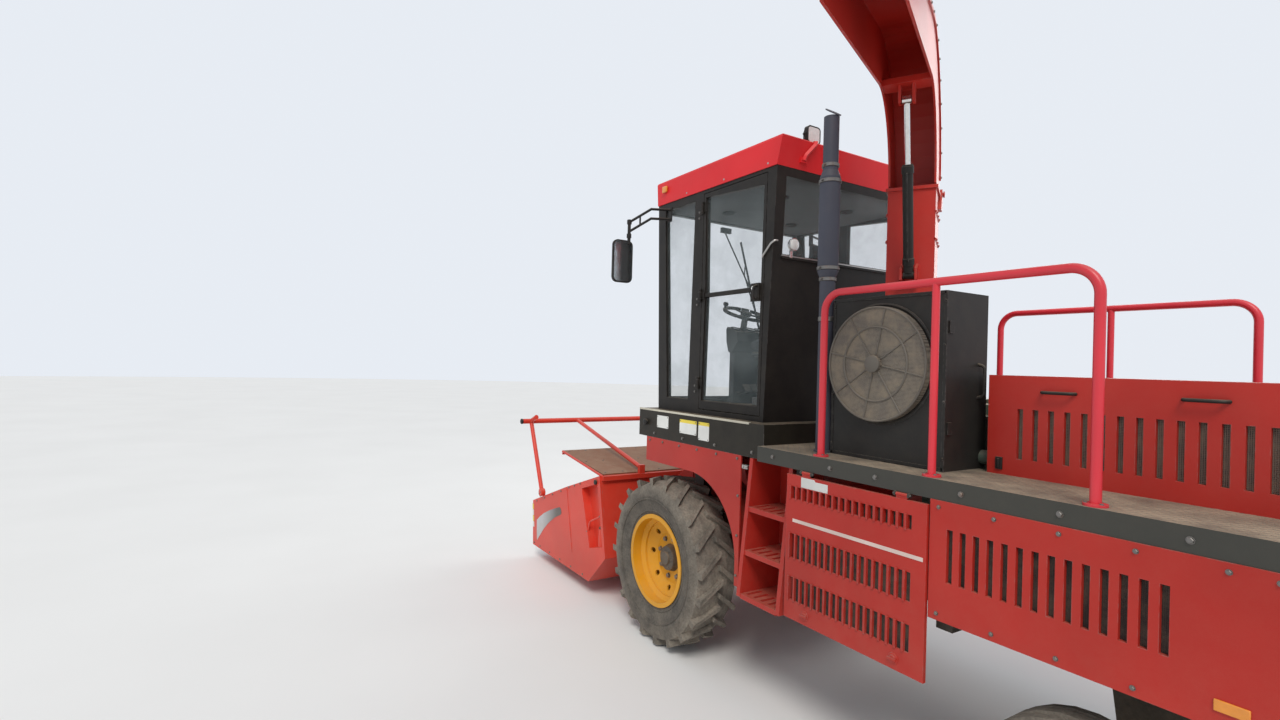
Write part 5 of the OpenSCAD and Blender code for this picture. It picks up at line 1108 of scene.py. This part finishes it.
def driver_seat():
    up, ahead = UP, (1, 0, 0)
    pads = [pad("seat_cushion", [(-0.595, 2.262), (-0.16, 2.268), (-0.146, 2.3), (-0.165, 2.33), (-0.56, 2.318),
        (-0.602, 2.3)], 0.222, 0.02, [(1, -0.135, up), (1, 0.135, up), (0, -0.29, up), (0, -0.43, up)]),
        pad("seat_backrest", [(-0.628, 2.385), (-0.596, 2.395), (-0.606, 2.5), (-0.65, 2.88), (-0.69, 2.9),
        (-0.718, 2.88), (-0.692, 2.4)], 0.22, 0.018, [(1, -0.13, ahead), (1, 0.13, ahead), (2, 2.52, ahead),
        (2, 2.64, ahead), (2, 2.76, ahead)]), pad("seat_headrest",
        [(-0.66, 2.94), (-0.668, 3.04), (-0.7, 3.05), (-0.716, 3.03), (-0.706, 2.94)], 0.115, 0.015,
        [(1, 0.0, ahead)], 0.016)]
    for cloth_piece in pads:
        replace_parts(cloth_piece, "seat")
    arms = Shape()
    for y in (-0.265, 0.265):
        arms.prism([(-0.672, 2.492), (-0.31, 2.5), (-0.292, 2.515), (-0.305, 2.532), (-0.672, 2.526)],
            y - 0.027, y + 0.027)
        arms.box((-0.672, y - 0.008, 2.44), (-0.64, y + 0.008, 2.5))
    arms.done("seat_arms", "trim", 0.01)
    base = Shape()
    for k in range(6):
        z = 1.88 + k * 0.052
        base.box((-0.56 + 0.01 * (k % 2), -0.18 + 0.01 * (k % 2), z),
            (-0.21 - 0.01 * (k % 2), 0.18 - 0.01 * (k % 2), z + 0.05))
    base.box((-0.58, -0.2, 2.19), (-0.19, 0.2, 2.215))
    base.box((-0.6, -0.205, 2.213), (-0.165, 0.205, 2.242))
    base.done("seat_base", "mat", 0.009)
    metal = Shape().box((-0.59, -0.195, 1.806), (-0.18, -0.15, 1.882)).box((-0.59, 0.15, 1.806),
        (-0.18, 0.195, 1.882))
    for y in (-0.06, 0.06):
        metal.tube([(-0.69, y, 2.885), (-0.688, y, 2.96)], 0.007, 0, 10)
    for y in (0.226, -0.226):
        metal.prism([(-0.652, 2.262), (-0.592, 2.262), (-0.64, 2.468), (-0.69, 2.468)], y - 0.004, y + 0.004)
    metal.done("seat_frame", "nut", 0.002)


# Floor, light and camera

def floor():
    n = Nodes("floor")
    tone = n.span(n.noise(0.5, 3.0), 0.3, 0.7)
    n.bump(n.noise(30, 4.0), 0.08, 0.004)
    n.done(n.mix(tone, (0.8, 0.79, 0.77), (0.83, 0.82, 0.8)), 0.9)
    bm = bmesh.new()
    bmesh.ops.create_circle(bm, cap_ends=True, segments=64, radius=60.0)
    mesh = mesh_of("floor", bm)
    mesh.materials.append(n.material)
    obj = bpy.data.objects.new("floor", mesh)
    bpy.context.scene.collection.objects.link(obj)


def light(name, kind, direction, place=(0, 0, 0), **settings):
    lamp = bpy.data.lights.new(name, kind)
    for setting, value in settings.items():
        setattr(lamp, setting, value)
    obj = bpy.data.objects.new(name, lamp)
    obj.location = place
    obj.rotation_euler = Vector(direction).to_track_quat("-Z", "Y").to_euler()
    bpy.context.scene.collection.objects.link(obj)


def sky():
    """Even soft light, with a pale sky for what the camera, gloss and glass see."""
    world = bpy.data.worlds.new("studio")
    world.use_nodes = True
    bpy.context.scene.world = world
    tree = world.node_tree

    def node(kind, **settings):
        made = tree.nodes.new("ShaderNode" + kind)
        for name, value in settings.items():
            setattr(made, name, value)
        return made

    lit = tree.nodes["Background"]
    seen, path, mix = node("Background"), node("LightPath"), node("MixShader")
    add, add_more = node("Math", operation="ADD"), node("Math", operation="ADD", use_clamp=True)
    for background, colour, strength in ((lit, (0.86, 0.92, 1.0, 1.0), 0.62),
            (seen, (0.80, 0.84, 0.90, 1.0), 1.0)):
        background.inputs["Color"].default_value = colour
        background.inputs["Strength"].default_value = strength
    for source, target in ((path.outputs["Is Camera Ray"], add.inputs[0]),
            (path.outputs["Is Glossy Ray"], add.inputs[1]), (add.outputs[0], add_more.inputs[0]),
            (path.outputs["Is Transmission Ray"], add_more.inputs[1]), (add_more.outputs[0], mix.inputs[0]),
            (lit.outputs[0], mix.inputs[1]), (seen.outputs[0], mix.inputs[2]),
            (mix.outputs[0], tree.nodes["World Output"].inputs["Surface"])):
        tree.links.new(source, target)


def camera():
    """The photograph's own viewpoint: beside the machine's rear, looking forward past the cab."""
    place = Vector((-3.3015, 3.1278, 2.1259))
    focal_px, frame_px = 630.18, 1280.0
    turn, dip, roll = radians(31.72), radians(-0.33), radians(1.63)
    ahead = Vector((cos(turn) * cos(dip), -sin(turn) * cos(dip), -sin(dip)))
    right = Vector((-sin(turn), -cos(turn), 0.0))
    up = right.cross(ahead)
    side = cos(roll) * right + sin(roll) * up
    top = -sin(roll) * right + cos(roll) * up
    data = bpy.data.cameras.new("camera")
    data.sensor_width = 36.0
    data.lens = focal_px / frame_px * data.sensor_width
    data.clip_start = 0.05
    data.clip_end = 300.0
    obj = bpy.data.objects.new("camera", data)
    obj.matrix_world = Matrix.Translation(place) @ Matrix((side, top, -ahead)).transposed().to_4x4()
    bpy.context.scene.collection.objects.link(obj)
    bpy.context.scene.camera = obj


wheel_fittings()
cab_fittings()
body_fittings()
rear_fittings()
header_fittings()
spout_fittings()
driver_seat()

camera()
floor()
sky()
# A broad soft key light from afar, which leaves no bright pool on the floor, and a fill
light("key", "SUN", (6.0, -5.0, -9.0), energy=1.7, angle=radians(22.0), color=(1.0, 0.97, 0.92))
light("far_side", "AREA", (-2.0, 8.7, -4.5), (2.0, -9.0, 6.0), shape="DISK", size=6.0, energy=260,
    color=(1.0, 0.98, 0.95))
bpy.context.scene.view_settings.view_transform = "Standard"
